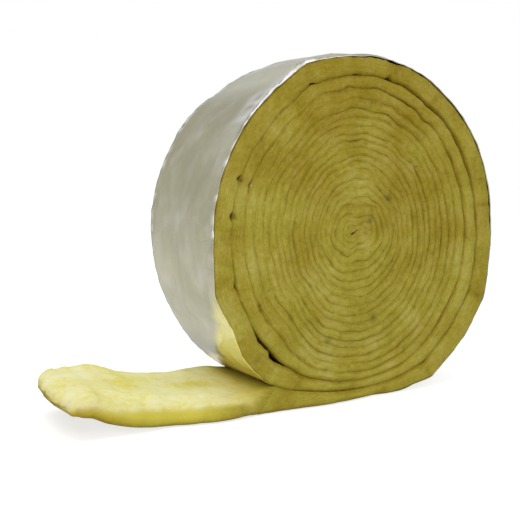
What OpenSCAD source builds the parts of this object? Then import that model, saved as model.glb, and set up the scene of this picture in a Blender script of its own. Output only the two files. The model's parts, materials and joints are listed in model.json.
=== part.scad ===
// Roll of foil-faced glass wool insulation, standing on its rim with its loose end laid out on the floor.
// X runs along the loose end, Y along the roll's axis and Z up. The origin is on the floor under the roll.

/* [Wound roll] */
// Diameter of the wound roll over its foil
roll_d = 410; // [300:1:520]
// Width of the blanket, which is the roll's length along its axis
blanket_w = 152; // [80:1:400]
// How far the soft roll settles and flattens on the floor under its own weight
settle = 11; // [4:0.5:20]
// Number of turns of the blanket
turns = 20; // [8:1:22]
// Thickness of the outer turn at the top of the roll, where it springs loose
outer_turn_t = 24; // [14:0.5:30]
// How much of that looseness each next turn inwards keeps
looseness_kept = 0.6; // [0.3:0.05:0.75]
// Diameter of the hollow eye left at the middle of the winding
eye_d = 10; // [8:0.5:40]
// How far the eye has wandered from the roll's axis, towards the loose end
eye_offset = 16; // [0:0.5:30]
// How far the eye lies above the roll's axis
eye_lift = 3; // [0:0.5:10]

/* [Turn edges] */
// Width of the crevice between two turns where it opens on the ends of the roll
crevice_w = 5; // [2:0.5:6]
// Depth of that crevice
crevice_d = 4; // [2:0.5:8]

/* [Loose end] */
// Thickness of the blanket where nothing presses on it
blanket_t = 25; // [15:0.5:40]
// Length of the loose end that lies flat, measured from under the roll's axis
flat_l = 235; // [200:1:600]
// Length of the tip that still curls up from being wound
curl_l = 125; // [60:1:200]
// How far the foil side of the tip is lifted off the floor
curl_rise = 30; // [10:1:50]
// Thickness of the blanket at its tip
tip_t = 15; // [8:0.5:25]

/* [Foil facing] */
// Thickness of the foil and its paper backing
foil_t = 0.4; // [0.2:0.1:1]

/* [Hidden] */
$fn = 180;
grid = 0.1;

wool_colour = "#9c9038";
foil_colour = "#b4b2a6";

roll_r = roll_d / 2;
eye_r = eye_d / 2;
axis_z = roll_r - settle;
eye_x = -eye_offset;
eye_z = axis_z + eye_lift;

// The outer turns spring loose towards the top of the roll, each less than the one outside it.
loose_sum = (1 - pow(looseness_kept, turns)) / (1 - looseness_kept);
tight_turn_t = (roll_r - eye_lift - eye_r - outer_turn_t * loose_sum) / (turns - loose_sum);
function turn_t(k) = tight_turn_t + (outer_turn_t - tight_turn_t) * pow(looseness_kept, k);
function loose_depth(k) = k == 0 ? 0 : loose_depth(k - 1) + turn_t(k - 1);

// The crevice's points lie on a fine grid, so that its arcs meet each other exactly.
function on_grid(length) = round(length / grid) * grid;

// Heights of the lowest and highest points of the crevice under turn k.
// Above the axis the turns are loose, and below it the weight of the roll presses them even.
function highest(k) = on_grid(axis_z + roll_r - loose_depth(k));
function lowest(k) = on_grid(k * (eye_z - eye_r) / turns);

// Those points wander sideways from the roll's axis to the eye, by about the same step every half turn.
function wander(half_turns) = on_grid(eye_x * half_turns / (2 * turns - 2));
function top_point(k) = [wander(2 * k - 1), highest(k)];
function bottom_point(k) = [wander(2 * k - 2), lowest(k)];

// The nip is where the roll's rim meets the top of the loose end.
nip_x = -sqrt(pow(roll_r, 2) - pow(axis_z - blanket_t, 2));
nip_rise = blanket_t - lowest(1);
nip_arc_r = on_grid((pow(nip_x, 2) + pow(nip_rise, 2)) / (2 * nip_rise));
// The crevice runs on a little past the nip, out of the wool.
nip_sweep = asin(-nip_x / nip_arc_r) + 1;

// The tip's foil side and its upper side are two arcs that both start level.
curl_r = (pow(curl_l, 2) + pow(curl_rise, 2)) / (2 * curl_rise);
tip_rise = curl_rise + tip_t - blanket_t;
upper_curl_r = (pow(curl_l, 2) + pow(tip_rise, 2)) / (2 * tip_rise);

// Puts a shape drawn in the end view, with its height along y, into the roll's own place.
module across_the_roll() {
    rotate([90, 0, 0]) children();
}

module full_width() {
    across_the_roll() linear_extrude(height = blanket_w, center = true) children();
}

// End view of the wound roll, settled on the floor, with its skin taken off to the given depth.
module roll_outline(skin) {
    intersection() {
        translate([0, axis_z]) circle(r = roll_r - skin);
        translate([-roll_r, skin]) square([roll_d, roll_d]);
    }
}

// End view of the stretch of the loose end that lies flat.
module flat_outline(skin) {
    translate([-flat_l, skin]) square([flat_l, blanket_t - skin]);
}

// End view of the tip that curls up and thins out.
module curl_outline(skin) {
    intersection() {
        difference() {
            translate([-flat_l, curl_r]) circle(r = curl_r - skin);
            translate([-flat_l, blanket_t + upper_curl_r]) circle(r = upper_curl_r);
        }
        translate([-flat_l - curl_l, 0]) square([curl_l, curl_rise + blanket_t]);
    }
}

module blanket_outline(skin) {
    roll_outline(skin);
    flat_outline(skin);
    curl_outline(skin);
}

// Section of a crevice: a notch between the soft edges of two turns, open at the roll's end.
module crevice_section() {
    polygon([[0, -crevice_d], [crevice_w, crevice_d], [-crevice_w, crevice_d]]);
}

// One arc of the crevice on the near end, about a centre in the end view.
module crevice_arc(centre, radius, start, sweep) {
    translate([centre.x, centre.y, blanket_w / 2])
        rotate([0, 0, start])
            rotate_extrude(angle = sweep)
                translate([radius, 0]) crevice_section();
}

// Half a turn of the crevice from one lowest point to one highest point, as two quarter turns that
// meet where the crevice stands upright. The side is 1 away from the loose end and -1 towards it.
module crevice_half_turn(low, high, side) {
    rise = high.y - low.y;
    run = side * (high.x - low.x);
    low_r = (rise + run) / 2;
    high_r = (rise - run) / 2;
    crevice_arc([low.x, low.y + low_r], low_r, side > 0 ? -90 : 180, 90);
    crevice_arc([high.x, high.y - high_r], high_r, side > 0 ? 0 : 90, 90);
}

// The spiral crevice on one end: from the nip, under the roll, then round and inwards to the eye.
module spiral_crevice() {
    crevice_arc([0, lowest(1) + nip_arc_r], nip_arc_r, -90 - nip_sweep, nip_sweep);
    for (k = [1 : turns - 1]) {
        crevice_half_turn(bottom_point(k), top_point(k), 1);
        if (k < turns - 1) crevice_half_turn(bottom_point(k + 1), top_point(k), -1);
    }
}

module eye() {
    across_the_roll()
        translate([eye_x, eye_z, 0]) cylinder(r = eye_r, h = 2 * blanket_w, center = true);
}

module wool_blanket() {
    color(wool_colour) difference() {
        full_width() blanket_outline(foil_t);
        eye();
        across_the_roll() {
            spiral_crevice();
            mirror([0, 0, 1]) spiral_crevice();
        }
    }
}

module foil_facing() {
    color(foil_colour) full_width() difference() {
        blanket_outline(0);
        blanket_outline(foil_t);
    }
}

wool_blanket();
foil_facing();
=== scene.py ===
"""Looks of the insulation roll: the wound glass wool blanket, its foil facing and the studio round it.

Lengths are in metres and angles in degrees. Angles on the roll's end run from its lowest point towards the
side away from the loose end, up and over, and a winding angle goes on counting through every turn inwards.
"""
import json
import logging
import math
from dataclasses import dataclass
from enum import Enum
from typing import Any, Sequence

import bpy
import numpy as np
from mathutils import Matrix, Vector, noise


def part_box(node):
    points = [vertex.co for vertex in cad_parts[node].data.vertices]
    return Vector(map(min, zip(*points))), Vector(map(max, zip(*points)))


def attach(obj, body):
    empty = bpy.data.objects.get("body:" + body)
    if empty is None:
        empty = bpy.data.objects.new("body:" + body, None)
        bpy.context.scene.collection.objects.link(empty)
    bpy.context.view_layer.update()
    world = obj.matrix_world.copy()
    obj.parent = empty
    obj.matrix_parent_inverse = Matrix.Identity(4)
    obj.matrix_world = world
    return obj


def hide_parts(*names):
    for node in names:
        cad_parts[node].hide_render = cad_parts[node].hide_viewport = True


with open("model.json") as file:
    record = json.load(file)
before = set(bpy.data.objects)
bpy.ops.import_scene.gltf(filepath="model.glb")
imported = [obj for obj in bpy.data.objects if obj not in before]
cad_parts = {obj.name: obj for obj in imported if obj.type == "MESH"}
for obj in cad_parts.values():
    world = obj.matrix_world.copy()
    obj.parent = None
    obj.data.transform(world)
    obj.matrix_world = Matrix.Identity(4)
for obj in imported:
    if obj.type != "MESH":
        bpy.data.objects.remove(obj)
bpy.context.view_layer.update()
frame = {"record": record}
LOG = logging.getLogger("insulation_roll")

MM = 0.001
TURN = 360.0
# Each seed of the wandering fields reads them this far from the last, so that no two look alike.
SEED_STEP = np.array([1.0, 1.7, -0.6])

Curve = tuple[tuple[float, float], ...]
Span = tuple[float, float]
Colour = tuple[float, float, float]
Values = np.ndarray | float
Marks = dict[str, np.ndarray]


def smooth_step(value: Values, start: Values, end: Values) -> np.ndarray:
    """Ease from 0 at start to 1 at end.

    Args:
        value: Where to measure the step.
        start: Where it leaves 0.
        end: Where it reaches 1.

    Returns:
        The eased step at each value.
    """
    share = np.clip((np.asarray(value, float) - start) / (end - start), 0.0, 1.0)
    return share * share * (3.0 - 2.0 * share)


def hump(value: Values, peak: float, reach: float) -> np.ndarray:
    """Give a soft hump that is 1 at its peak and fades over its reach."""
    return np.exp(-(((value - peak) / reach) ** 2))


def quarter_round(share: np.ndarray) -> np.ndarray:
    """Give the height of a quarter of a unit circle, from 0 at its start to 1 at its end."""
    return np.sqrt(np.clip(1 - (1 - share) ** 2, 0.0, 1.0))


def soft_min(a: np.ndarray, b: np.ndarray, blend: float) -> np.ndarray:
    """Take the smaller of two values, rounding the corner where they cross.

    Args:
        a: First values.
        b: Second values.
        blend: How wide the rounding is, in the same unit.

    Returns:
        The rounded minimum.
    """
    share = np.clip(0.5 + 0.5 * (b - a) / blend, 0.0, 1.0)
    return b + (a - b) * share - blend * share * (1.0 - share)


def eased_points(points: Curve, at: np.ndarray) -> np.ndarray:
    """Run a soft curve through a few points.

    Args:
        points: Pairs of place and value, in rising order of place.
        at: Places to read the curve at.

    Returns:
        The curve's values.
    """
    places = np.array([p for p, _ in points])
    values = np.array([v for _, v in points])
    span = np.clip(np.searchsorted(places, at) - 1, 0, len(places) - 2)
    share = smooth_step(at, places[span], places[span + 1])
    return values[span] * (1.0 - share) + values[span + 1] * share


def run_along(line: np.ndarray) -> np.ndarray:
    """Give the distance from the start of a line to each of its points."""
    return np.concatenate([[0.0], np.cumsum(np.linalg.norm(np.diff(line, axis=0), axis=1))])


def off_angle(angle: np.ndarray, other: float) -> np.ndarray:
    """Give how far angles lie from another one, the short way round."""
    return np.abs((angle - other + TURN / 2) % TURN - TURN / 2)


def drift(points: np.ndarray, wavelength: float, seed: float) -> np.ndarray:
    """Read a smooth wandering value at each point.

    Args:
        points: Places, with x, y and z along the last axis.
        wavelength: Distance over which the value wanders.
        seed: Which of the wandering fields to read.

    Returns:
        One value from about -1 to 1 for each point.
    """
    scaled = points / wavelength + seed * SEED_STEP
    values = [noise.noise(p) for p in scaled.reshape(-1, 3).tolist()]
    return np.array(values).reshape(points.shape[:-1])


class Side(Enum):
    """The two ends of the roll."""

    NEAR = -1.0
    FAR = 1.0

    def pick(self, near: Any, far: Any) -> Any:
        """Give the near end's value or the far end's."""
        return near if self is Side.NEAR else far


@dataclass(frozen=True)
class RollSizes:
    """Driving sizes of the roll, read from the CAD frame where it holds them."""

    roll_r: float
    axis_z: float
    half_w: float
    eye_x: float
    eye_z: float
    eye_r: float
    tip_x: float
    turns: int = 20
    foil_t: float = 0.4 * MM
    flat_l: float = 235 * MM
    curl_rise: float = 30 * MM

    @classmethod
    def from_frame(cls, record: dict[str, Any]) -> "RollSizes":
        """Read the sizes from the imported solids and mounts.

        Args:
            record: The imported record.

        Returns:
            The sizes in metres.
        """
        low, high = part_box("foil_facing")
        eye = next(m for m in record["mounts"] if m["name"] == "eye")
        return cls(
            roll_r=high[0],
            axis_z=high[2] - high[0],
            half_w=high[1],
            eye_x=eye["pos_m"][0],
            eye_z=eye["pos_m"][2],
            eye_r=eye["dims"]["r_mm"] * MM,
            tip_x=low[0],
        )


@dataclass(frozen=True)
class Buckle:
    """A place where the stiff facing kinked as it was wound, and pushed the outer turn out."""

    angle: float
    rim_push: float
    reach: float
    pocket: float
    pocket_reach: float


@dataclass(frozen=True)
class Spot:
    """A dark spot pressed into the roll's near end: a stain, painted shade in a hole, or painted shade in a
    slit.
    """

    x: float
    z: float
    radius: float
    strength: float


@dataclass(frozen=True)
class Crease:
    """A crease across the edge of the outer turn, or a curl or crown in the facing."""

    angle: float
    depth: float
    reach: float

    def at(self, winding: np.ndarray) -> np.ndarray:
        """Give its depth at each winding angle."""
        return self.depth * hump(winding, self.angle, self.reach)


@dataclass(frozen=True)
class Stretch:
    """A stretch of the winding over which something rises to an amount and falls away again."""

    rise: Span
    fall: Span
    amount: float = 1.0

    def at(self, winding: np.ndarray) -> np.ndarray:
        """Give the amount at each winding angle."""
        return self.amount * smooth_step(winding, *self.rise) * smooth_step(winding, *self.fall[::-1])


@dataclass(frozen=True)
class Ragged:
    """A factor that wanders along the winding between two limits, in lanes that keep the turns apart."""

    mean: float
    swing: float
    low: float
    high: float
    reach: float
    seed: float
    lane: float = 0.0
    slope: float = 0.0

    def at(self, winding: np.ndarray, seed: float = 0.0) -> np.ndarray:
        """Give the factor at each winding angle, for an end with a seed of its own.

        Args:
            winding: Winding angles.
            seed: Added to the factor's seed.

        Returns:
            The factor.
        """
        turn = winding / TURN
        lanes = np.floor(turn) * self.lane + turn * self.slope
        path = np.stack([winding / self.reach, lanes, np.zeros_like(winding)], axis=-1)
        return np.clip(self.mean + self.swing * drift(path, 1.0, seed + self.seed), self.low, self.high)


@dataclass(frozen=True)
class Wander:
    """An amount that wanders over a surface, drawn out or pressed together across the blanket."""

    amount: float
    wavelength: float
    seed: float
    across: float = 1.0

    def at(self, points: np.ndarray, seed: float = 0.0) -> np.ndarray:
        """Give the amount at each point, with a number added to the seed."""
        stretched = points * np.array([1.0, self.across, 1.0])
        return self.amount * drift(stretched, self.wavelength, seed + self.seed)


def wandering(layers: Sequence[Wander], points: np.ndarray, seed: float = 0.0) -> np.ndarray:
    """Add up amounts that wander, coarse and fine.

    Args:
        layers: The amounts.
        points: Places, with x, y and z along the last axis.
        seed: Added to their seeds.

    Returns:
        Their sum at each point.
    """
    return sum(layer.at(points, seed) for layer in layers)


@dataclass(frozen=True)
class Crumple:
    """How far one size of crumple moves the turns: on the whole, in the upper half and by the eye."""

    wavelength: float
    sway: float
    upper_sway: float
    core_sway: float
    seed: float


NEAR_BUCKLES = (
    Buckle(21.0, -3.0 * MM, 6.0, 0.0, 1.0),
    Buckle(30.0, 4.8 * MM, 6.0, 3.0 * MM, 3.5),
    Buckle(50.0, 4.6 * MM, 14.0, 0.0, 1.0),
    Buckle(65.0, 5.2 * MM, 8.0, 3.0 * MM, 3.0),
    Buckle(94.0, -2.6 * MM, 12.0, 2.5 * MM, 2.5),
    Buckle(143.0, -1.9 * MM, 14.0, 0.0, 1.0),
    Buckle(169.0, -2.0 * MM, 9.0, 3.5 * MM, 3.0),
    Buckle(184.0, -2.0 * MM, 8.0, 3.0 * MM, 2.5),
    Buckle(205.0, 4.2 * MM, 5.0, 2.2 * MM, 2.5),
    Buckle(222.0, -1.6 * MM, 13.0, 0.0, 1.0),
    Buckle(250.0, 1.0 * MM, 6.0, 7.5 * MM, 1.9),
    Buckle(263.0, 1.0 * MM, 6.0, 8.5 * MM, 2.2),
    Buckle(286.5, 7.2 * MM, 9.0, 3.0 * MM, 3.0),
    Buckle(298.0, -2.0 * MM, 3.0, 0.0, 1.0),
    Buckle(309.0, 8.0 * MM, 10.0, 0.0, 1.0),
    Buckle(313.0, 0.0, 1.0, 7.6 * MM, 13.5),
    Buckle(320.0, 4.0 * MM, 9.0, 0.0, 1.0),
)
FAR_BUCKLES = (
    Buckle(41.0, 3.0 * MM, 10.0, 4.0 * MM, 4.0),
    Buckle(88.0, 3.0 * MM, 11.0, 3.0 * MM, 3.0),
    Buckle(122.0, -2.0 * MM, 12.0, 2.0 * MM, 2.5),
    Buckle(158.0, 1.5 * MM, 9.0, 3.5 * MM, 4.0),
    Buckle(192.0, 4.2 * MM, 13.0, 3.0 * MM, 3.0),
    Buckle(214.0, -3.4 * MM, 7.0, 0.0, 1.0),
    Buckle(230.0, 0.8 * MM, 8.0, 2.5 * MM, 2.5),
    Buckle(300.0, -2.4 * MM, 18.0, 4.0 * MM, 9.0),
)


@dataclass(frozen=True)
class Winding:
    """The path of the blanket round the roll, seen from the near end."""

    sizes: RollSizes
    nip_angle: float = 322.5
    bed_rise: float = 15.5 * MM
    bed_reach: float = 127 * MM
    bed_blend: float = 7 * MM
    foot_cos: float = 0.2
    rim_slack: float = 1.5 * MM
    looseness_kept: float = 0.5
    kink_kept: float = 0.55
    kink_shape: float = 1.4
    step_in: Span = (300.0, TURN)
    crevice: float = 0.1 * MM
    second_gap: float = 0.4
    pocket_shape: float = 1.3
    pocket_tears: Ragged = Ragged(1.0, 1.1, 0.3, 1.7, reach=2.2, seed=9.2)
    chance_gap: float = 1.2 * MM
    chances: Ragged = Ragged(-0.34, 1.0, 0.0, math.inf, reach=24.0, seed=5.3, lane=3.1)
    plain_groove: float = 1.55 * MM
    groove_wear: Ragged = Ragged(0.8, 1.15, 0.15, 1.7, reach=26.0, seed=12.4, lane=2.9)
    core_groove: float = 0.34
    core_turns: Span = (6.0, 15.0)
    slack_groove: float = 0.6
    slack: Stretch = Stretch((165.0, 205.0), (335.0, 358.0))
    slack_turns: Span = (7.0, 13.0)
    merged_groove: float = 0.6
    merged: Stretch = Stretch((185.0, 215.0), (262.0, 295.0))
    merged_turns: Span = (6.0, 2.0)
    eye_turns: Span = (1.0, 3.0)
    eye_groove: float = 0.7 * MM
    eye_groove_turn: float = 3.3
    eye_groove_reach: float = 0.5
    loosened_mean: float = 0.75
    loosened_wear: float = 0.3
    plain_edge: float = 4.4 * MM
    edge_swell: Ragged = Ragged(1.0, 0.5, -math.inf, math.inf, reach=35.0, seed=2.2, slope=2.3)
    crisp_edge: float = 0.35
    crisp_depth: float = 0.45
    rim_groove: float = 0.6 * MM
    rim_edge: float = 1.2 * MM
    under_groove: float = 2.0 * MM
    under_edge: float = 4.5 * MM
    under_roll: Span = (25.0, -15.0)
    nip_groove: float = 0.7 * MM
    nip_edge: float = 4.0 * MM
    to_nip: Span = (305.0, 335.0)
    heel: Crease = Crease(10.0, 1.6 * MM, 8.0)
    lip_groove: Stretch = Stretch((196.0, 206.0), (270.0, 290.0), 1.5 * MM)
    lip_edge: Stretch = Stretch((196.0, 206.0), (276.0, 292.0), 2.0 * MM)
    shoulder: Stretch = Stretch((80.0, 105.0), (175.0, 190.0), 1.8 * MM)
    edge_overlap: float = 2.4 * MM
    outer_overlap: float = 0.5
    pressing: Ragged = Ragged(0.75, 1.0, 0.4, 1.3, reach=30.0, seed=8.1, lane=2.7)
    overlap_from: Span = (312.0, 335.0)
    eye_closing: float = 0.3
    core_reach: float = 34 * MM
    core_squash: float = 0.22
    dent_depth: float = 5.5 * MM
    dent_reach: float = 27 * MM
    dent_width: float = 10 * MM
    dent_blend: float = 4 * MM
    glint_angle: float = 251.0
    glint_reach: float = 1.4
    glint_gap: float = 3.6 * MM
    looseness: Curve = (
        (0.0, 11 * MM), (30.0, 20 * MM), (60.0, 24 * MM), (100.0, 26 * MM), (140.0, 26 * MM),
        (180.0, 23.5 * MM), (225.0, 27 * MM), (270.0, 27 * MM), (285.0, 29 * MM), (300.0, 27.5 * MM),
        (312.0, 30 * MM), (324.0, 28 * MM), (337.0, 19 * MM), (350.0, 13 * MM), (360.0, 11 * MM),
    )
    outer_gap: Curve = (
        (0.0, 0.1 * MM), (45.0, 0.5 * MM), (75.0, 1.2 * MM), (110.0, 1.9 * MM), (150.0, 1.4 * MM),
        (180.0, 0.5 * MM), (205.0, 0.1 * MM), (290.0, 0.2 * MM), (330.0, 0.5 * MM), (360.0, 0.1 * MM),
    )
    outer_groove: Curve = (
        (0.0, 1.5 * MM), (40.0, 3.6 * MM), (75.0, 6.0 * MM), (110.0, 7.0 * MM), (150.0, 6.0 * MM),
        (180.0, 3.2 * MM), (205.0, 1.1 * MM), (225.0, 0.3 * MM), (265.0, 0.3 * MM), (290.0, 1.8 * MM),
        (330.0, 3.2 * MM), (360.0, 1.5 * MM),
    )
    second_groove: Curve = (
        (0.0, 1.6 * MM), (45.0, 2.8 * MM), (85.0, 3.2 * MM), (115.0, 5.0 * MM), (160.0, 5.0 * MM),
        (185.0, 2.4 * MM), (208.0, 0.6 * MM), (265.0, 0.35 * MM), (330.0, 1.6 * MM), (360.0, 1.6 * MM),
    )
    inner_share: Span = (0.97, 0.8)
    upper_share: Span = (0.3, 0.9)
    crumples: tuple[Crumple, ...] = (
        Crumple(75 * MM, 3.6 * MM, 0.0, 1.0 * MM, 1.0),
        Crumple(26 * MM, 1.1 * MM, 2.2 * MM, 4.2 * MM, 4.0),
        Crumple(11 * MM, 0.4 * MM, 0.5 * MM, 1.7 * MM, 7.0),
    )
    height_seed: float = 20.0
    fine_steps: int = 40000
    eye_step: float = 0.6
    rim_step: float = 0.55
    buckles: tuple[Buckle, ...] = NEAR_BUCKLES
    seed: float = 0.0

    def rim(self, angle: np.ndarray) -> np.ndarray:
        """Give the rim's distance from the roll's axis, with its kinks.

        Args:
            angle: Angles round the roll.

        Returns:
            The radius of the foil's outer side.
        """
        radius = np.full_like(angle, self.sizes.roll_r - self.rim_slack)
        for buckle in self.buckles:
            off = off_angle(angle, buckle.angle)
            radius += buckle.rim_push * np.exp(-((off / buckle.reach) ** self.kink_shape))
        return radius

    def outline(self, angle: np.ndarray) -> np.ndarray:
        """Give the wound roll's outline, settled on the floor and bedded on its own loose end.

        Args:
            angle: Angles from the nip, below 0, round to the next bottom, 360.

        Returns:
            The distance from the axis.
        """
        return self.settled(angle, self.rim(angle))

    def settled(self, angle: np.ndarray, rim: np.ndarray) -> np.ndarray:
        """Settle a rim on the floor and on the loose end.

        Args:
            angle: Angles from the nip, below 0, round to the next bottom, 360.
            rim: The rim's distance from the axis at each angle.

        Returns:
            The settled rim's distance from the axis.
        """
        down = np.radians(np.where(angle > 180.0, TURN - angle, angle))
        cos, sin = np.cos(down), np.sin(down)
        # Above the foot, the floor and the bed are out of the rim's reach, a metre away.
        clear = cos < self.foot_cos
        floor = np.where(clear, 1.0, self.sizes.axis_z / np.where(clear, 1.0, cos))
        bend = self.bed_rise / self.bed_reach**2 * np.maximum(sin, 1e-4) ** 2
        drop = self.sizes.axis_z - self.looseness[0][1]
        bed = np.where(clear, 1.0, (np.sqrt(cos**2 + 4 * bend * drop) - cos) / (2 * bend))
        under = np.where(angle > 180.0, bed, floor)
        return np.where(angle < 0.0, floor, soft_min(rim, under, self.bed_blend))

    def boundary(self, winding: np.ndarray) -> np.ndarray:
        """Give the distance from the axis to the blanket's foil side.

        Args:
            winding: Winding angles.

        Returns:
            The radius at each winding angle.
        """
        turn = np.maximum(np.floor(winding / TURN), 0.0)
        angle = winding - turn * TURN
        plain = self.settled(angle, np.full_like(angle, self.sizes.roll_r - self.rim_slack))
        outline = plain + (self.outline(angle) - plain) * self.kink_kept**turn
        kept = self.looseness_kept
        loose = eased_points(self.looseness, np.maximum(angle, 0.0))
        step_in = smooth_step(angle, *self.step_in)
        left = self.sizes.turns - step_in
        loose_sum = kept**step_in * (1 - kept**left) / (1 - kept)
        tight = (outline - self.eye_closing * self.sizes.eye_r - loose * loose_sum) / (left - loose_sum)
        depth = turn * tight + (loose - tight) * kept**step_in * (1 - kept**turn) / (1 - kept)
        return outline - depth

    def gap(self, winding: np.ndarray) -> np.ndarray:
        """Give the open crevice between a turn's foil and the wool of the turn outside it.

        Args:
            winding: Winding angles of the inner turn's foil.

        Returns:
            The crevice's width.
        """
        turn = np.floor(winding / TURN)
        angle = winding - turn * TURN
        width = np.full_like(winding, self.crevice)
        tears = self.pocket_tears.at(winding, self.seed)
        for buckle in self.buckles:
            off = off_angle(angle, buckle.angle) / buckle.pocket_reach
            opening = buckle.pocket * np.maximum(0.0, 1.0 - off) ** self.pocket_shape
            width += np.where(turn == 1, opening * tears, 0.0)
        slack = eased_points(self.outer_gap, angle)
        width += np.where(turn == 1, slack, 0.0) + np.where(turn == 2, self.second_gap * slack, 0.0)
        glint = hump(winding - 2 * TURN, self.glint_angle, self.glint_reach)
        return width + self.glint_gap * glint + self.chance_gap * self.chances.at(winding, self.seed)

    def groove(self, winding: np.ndarray) -> np.ndarray:
        """Give how deep the soft valley over a crevice is on the roll's end.

        Args:
            winding: Winding angles of the inner turn.

        Returns:
            The depth.
        """
        turn = np.floor(winding / TURN)
        angle = winding - turn * TURN
        worn = self.groove_wear.at(winding, self.seed)
        from_eye = self.sizes.turns - winding / TURN
        drawn = self.core_groove + (1 - self.core_groove) * smooth_step(from_eye, *self.core_turns)
        slack = self.slack.at(angle) * smooth_step(from_eye, *self.slack_turns)
        merged = self.merged.at(angle) * smooth_step(turn, *self.merged_turns)
        closed = (1 - self.slack_groove * slack) * (1 - self.merged_groove * merged)
        depth = self.plain_groove * worn * drawn * closed * smooth_step(from_eye, *self.eye_turns)
        depth = depth + self.eye_groove * hump(from_eye, self.eye_groove_turn, self.eye_groove_reach)
        loosened = self.loosened_mean + self.loosened_wear * worn
        depth = np.where(turn == 1, loosened * eased_points(self.outer_groove, angle), depth)
        depth = np.where(turn == 2, loosened * eased_points(self.second_groove, angle), depth)
        under = self.under_groove * smooth_step(winding, *self.under_roll)
        under = under + self.nip_groove * smooth_step(winding, *self.to_nip)
        for feature in (self.heel, self.lip_groove, self.shoulder):
            under = under + feature.at(winding)
        return np.where(turn < 1, self.rim_groove + under, depth)

    def edge_width(self, winding: np.ndarray) -> np.ndarray:
        """Give how far across a turn's cut edge the valley beside it reaches.

        Args:
            winding: Winding angles of the inner turn.

        Returns:
            The width on one side of the crevice.
        """
        wide = self.plain_edge * self.edge_swell.at(winding, self.seed)
        under = self.under_edge * smooth_step(winding, *self.under_roll)
        under = under + self.nip_edge * smooth_step(winding, *self.to_nip) + self.lip_edge.at(winding)
        return np.where(winding < TURN, self.rim_edge + under, wide)

    def overlap(self, winding: np.ndarray) -> np.ndarray:
        """Give how far the swollen cut edges of two turns press into each other.

        Args:
            winding: Winding angles of the inner turn.

        Returns:
            The overlap, 0 at the rim.
        """
        pressed = self.edge_overlap * self.pressing.at(winding, self.seed)
        pressed = np.where(winding < 2 * TURN, self.outer_overlap * pressed, pressed)
        return pressed * smooth_step(winding, *self.overlap_from)

    def core_warp(self, x: np.ndarray, z: np.ndarray) -> tuple[np.ndarray, np.ndarray]:
        """Collapse the turns round the eye, which nothing holds open.

        Args:
            x: Places along the floor, from the eye.
            z: Heights from the eye.

        Returns:
            The moved places and heights.
        """
        radius = np.hypot(x, z)
        core = hump(radius, 0.0, self.core_reach)
        near = (radius / self.dent_reach) ** 2
        dent = self.dent_depth * hump(x, 0.0, self.dent_width) * near * np.exp(1.0 - near)
        z = z * (1 - self.core_squash * core) - dent * z / np.hypot(z, self.dent_blend)
        return x * (1 + self.core_squash * core), z

    def place(self, winding: np.ndarray, radius: np.ndarray) -> np.ndarray:
        """Turn winding angles and radii into places on the roll's end, crumpled towards the eye.

        Args:
            winding: Winding angles.
            radius: Distances from the axis.

        Returns:
            An (n, 2) array of x and z.
        """
        turned = np.radians(winding)
        x, z = radius * np.sin(turned), -radius * np.cos(turned)
        share = np.clip(radius / self.sizes.roll_r, 0.0, 1.0)
        core = hump(radius, 0.0, self.core_reach)
        inside = smooth_step(share, *self.inner_share)
        upper = inside * smooth_step(z / np.maximum(radius, 1 * MM), *self.upper_share)
        flat = np.stack([x, np.zeros_like(x), z], axis=1)
        x, z = self.core_warp(x, z)
        for crumple in self.crumples:
            strength = crumple.sway * inside + crumple.upper_sway * upper + crumple.core_sway * core
            seed = self.seed + crumple.seed
            x = x + strength * drift(flat, crumple.wavelength, seed)
            z = z + strength * drift(flat, crumple.wavelength, seed + self.height_seed)
        shift = 1.0 - share**2
        x = x + self.sizes.eye_x * shift
        z = z + (self.sizes.eye_z - self.sizes.axis_z) * shift + self.sizes.axis_z
        return np.stack([x, z], axis=1)

    def steps(self, start: float, end: float, length: float) -> np.ndarray:
        """Space winding angles along the blanket, closer together towards the eye.

        Args:
            start: First winding angle.
            end: Last winding angle.
            length: Distance along the blanket between two steps, on average.

        Returns:
            The winding angles.
        """
        fine = np.linspace(start, end, self.fine_steps)
        radius = np.maximum(self.boundary(fine), self.sizes.eye_r)
        stretch = self.eye_step + self.rim_step * radius / self.sizes.roll_r
        along = np.concatenate([[0.0], np.cumsum(np.radians(np.diff(fine)) * (radius / stretch)[1:])])
        count = max(2, int(round(along[-1] / length)) + 1)
        return np.interp(np.linspace(0.0, along[-1], count), along, fine)


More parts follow.
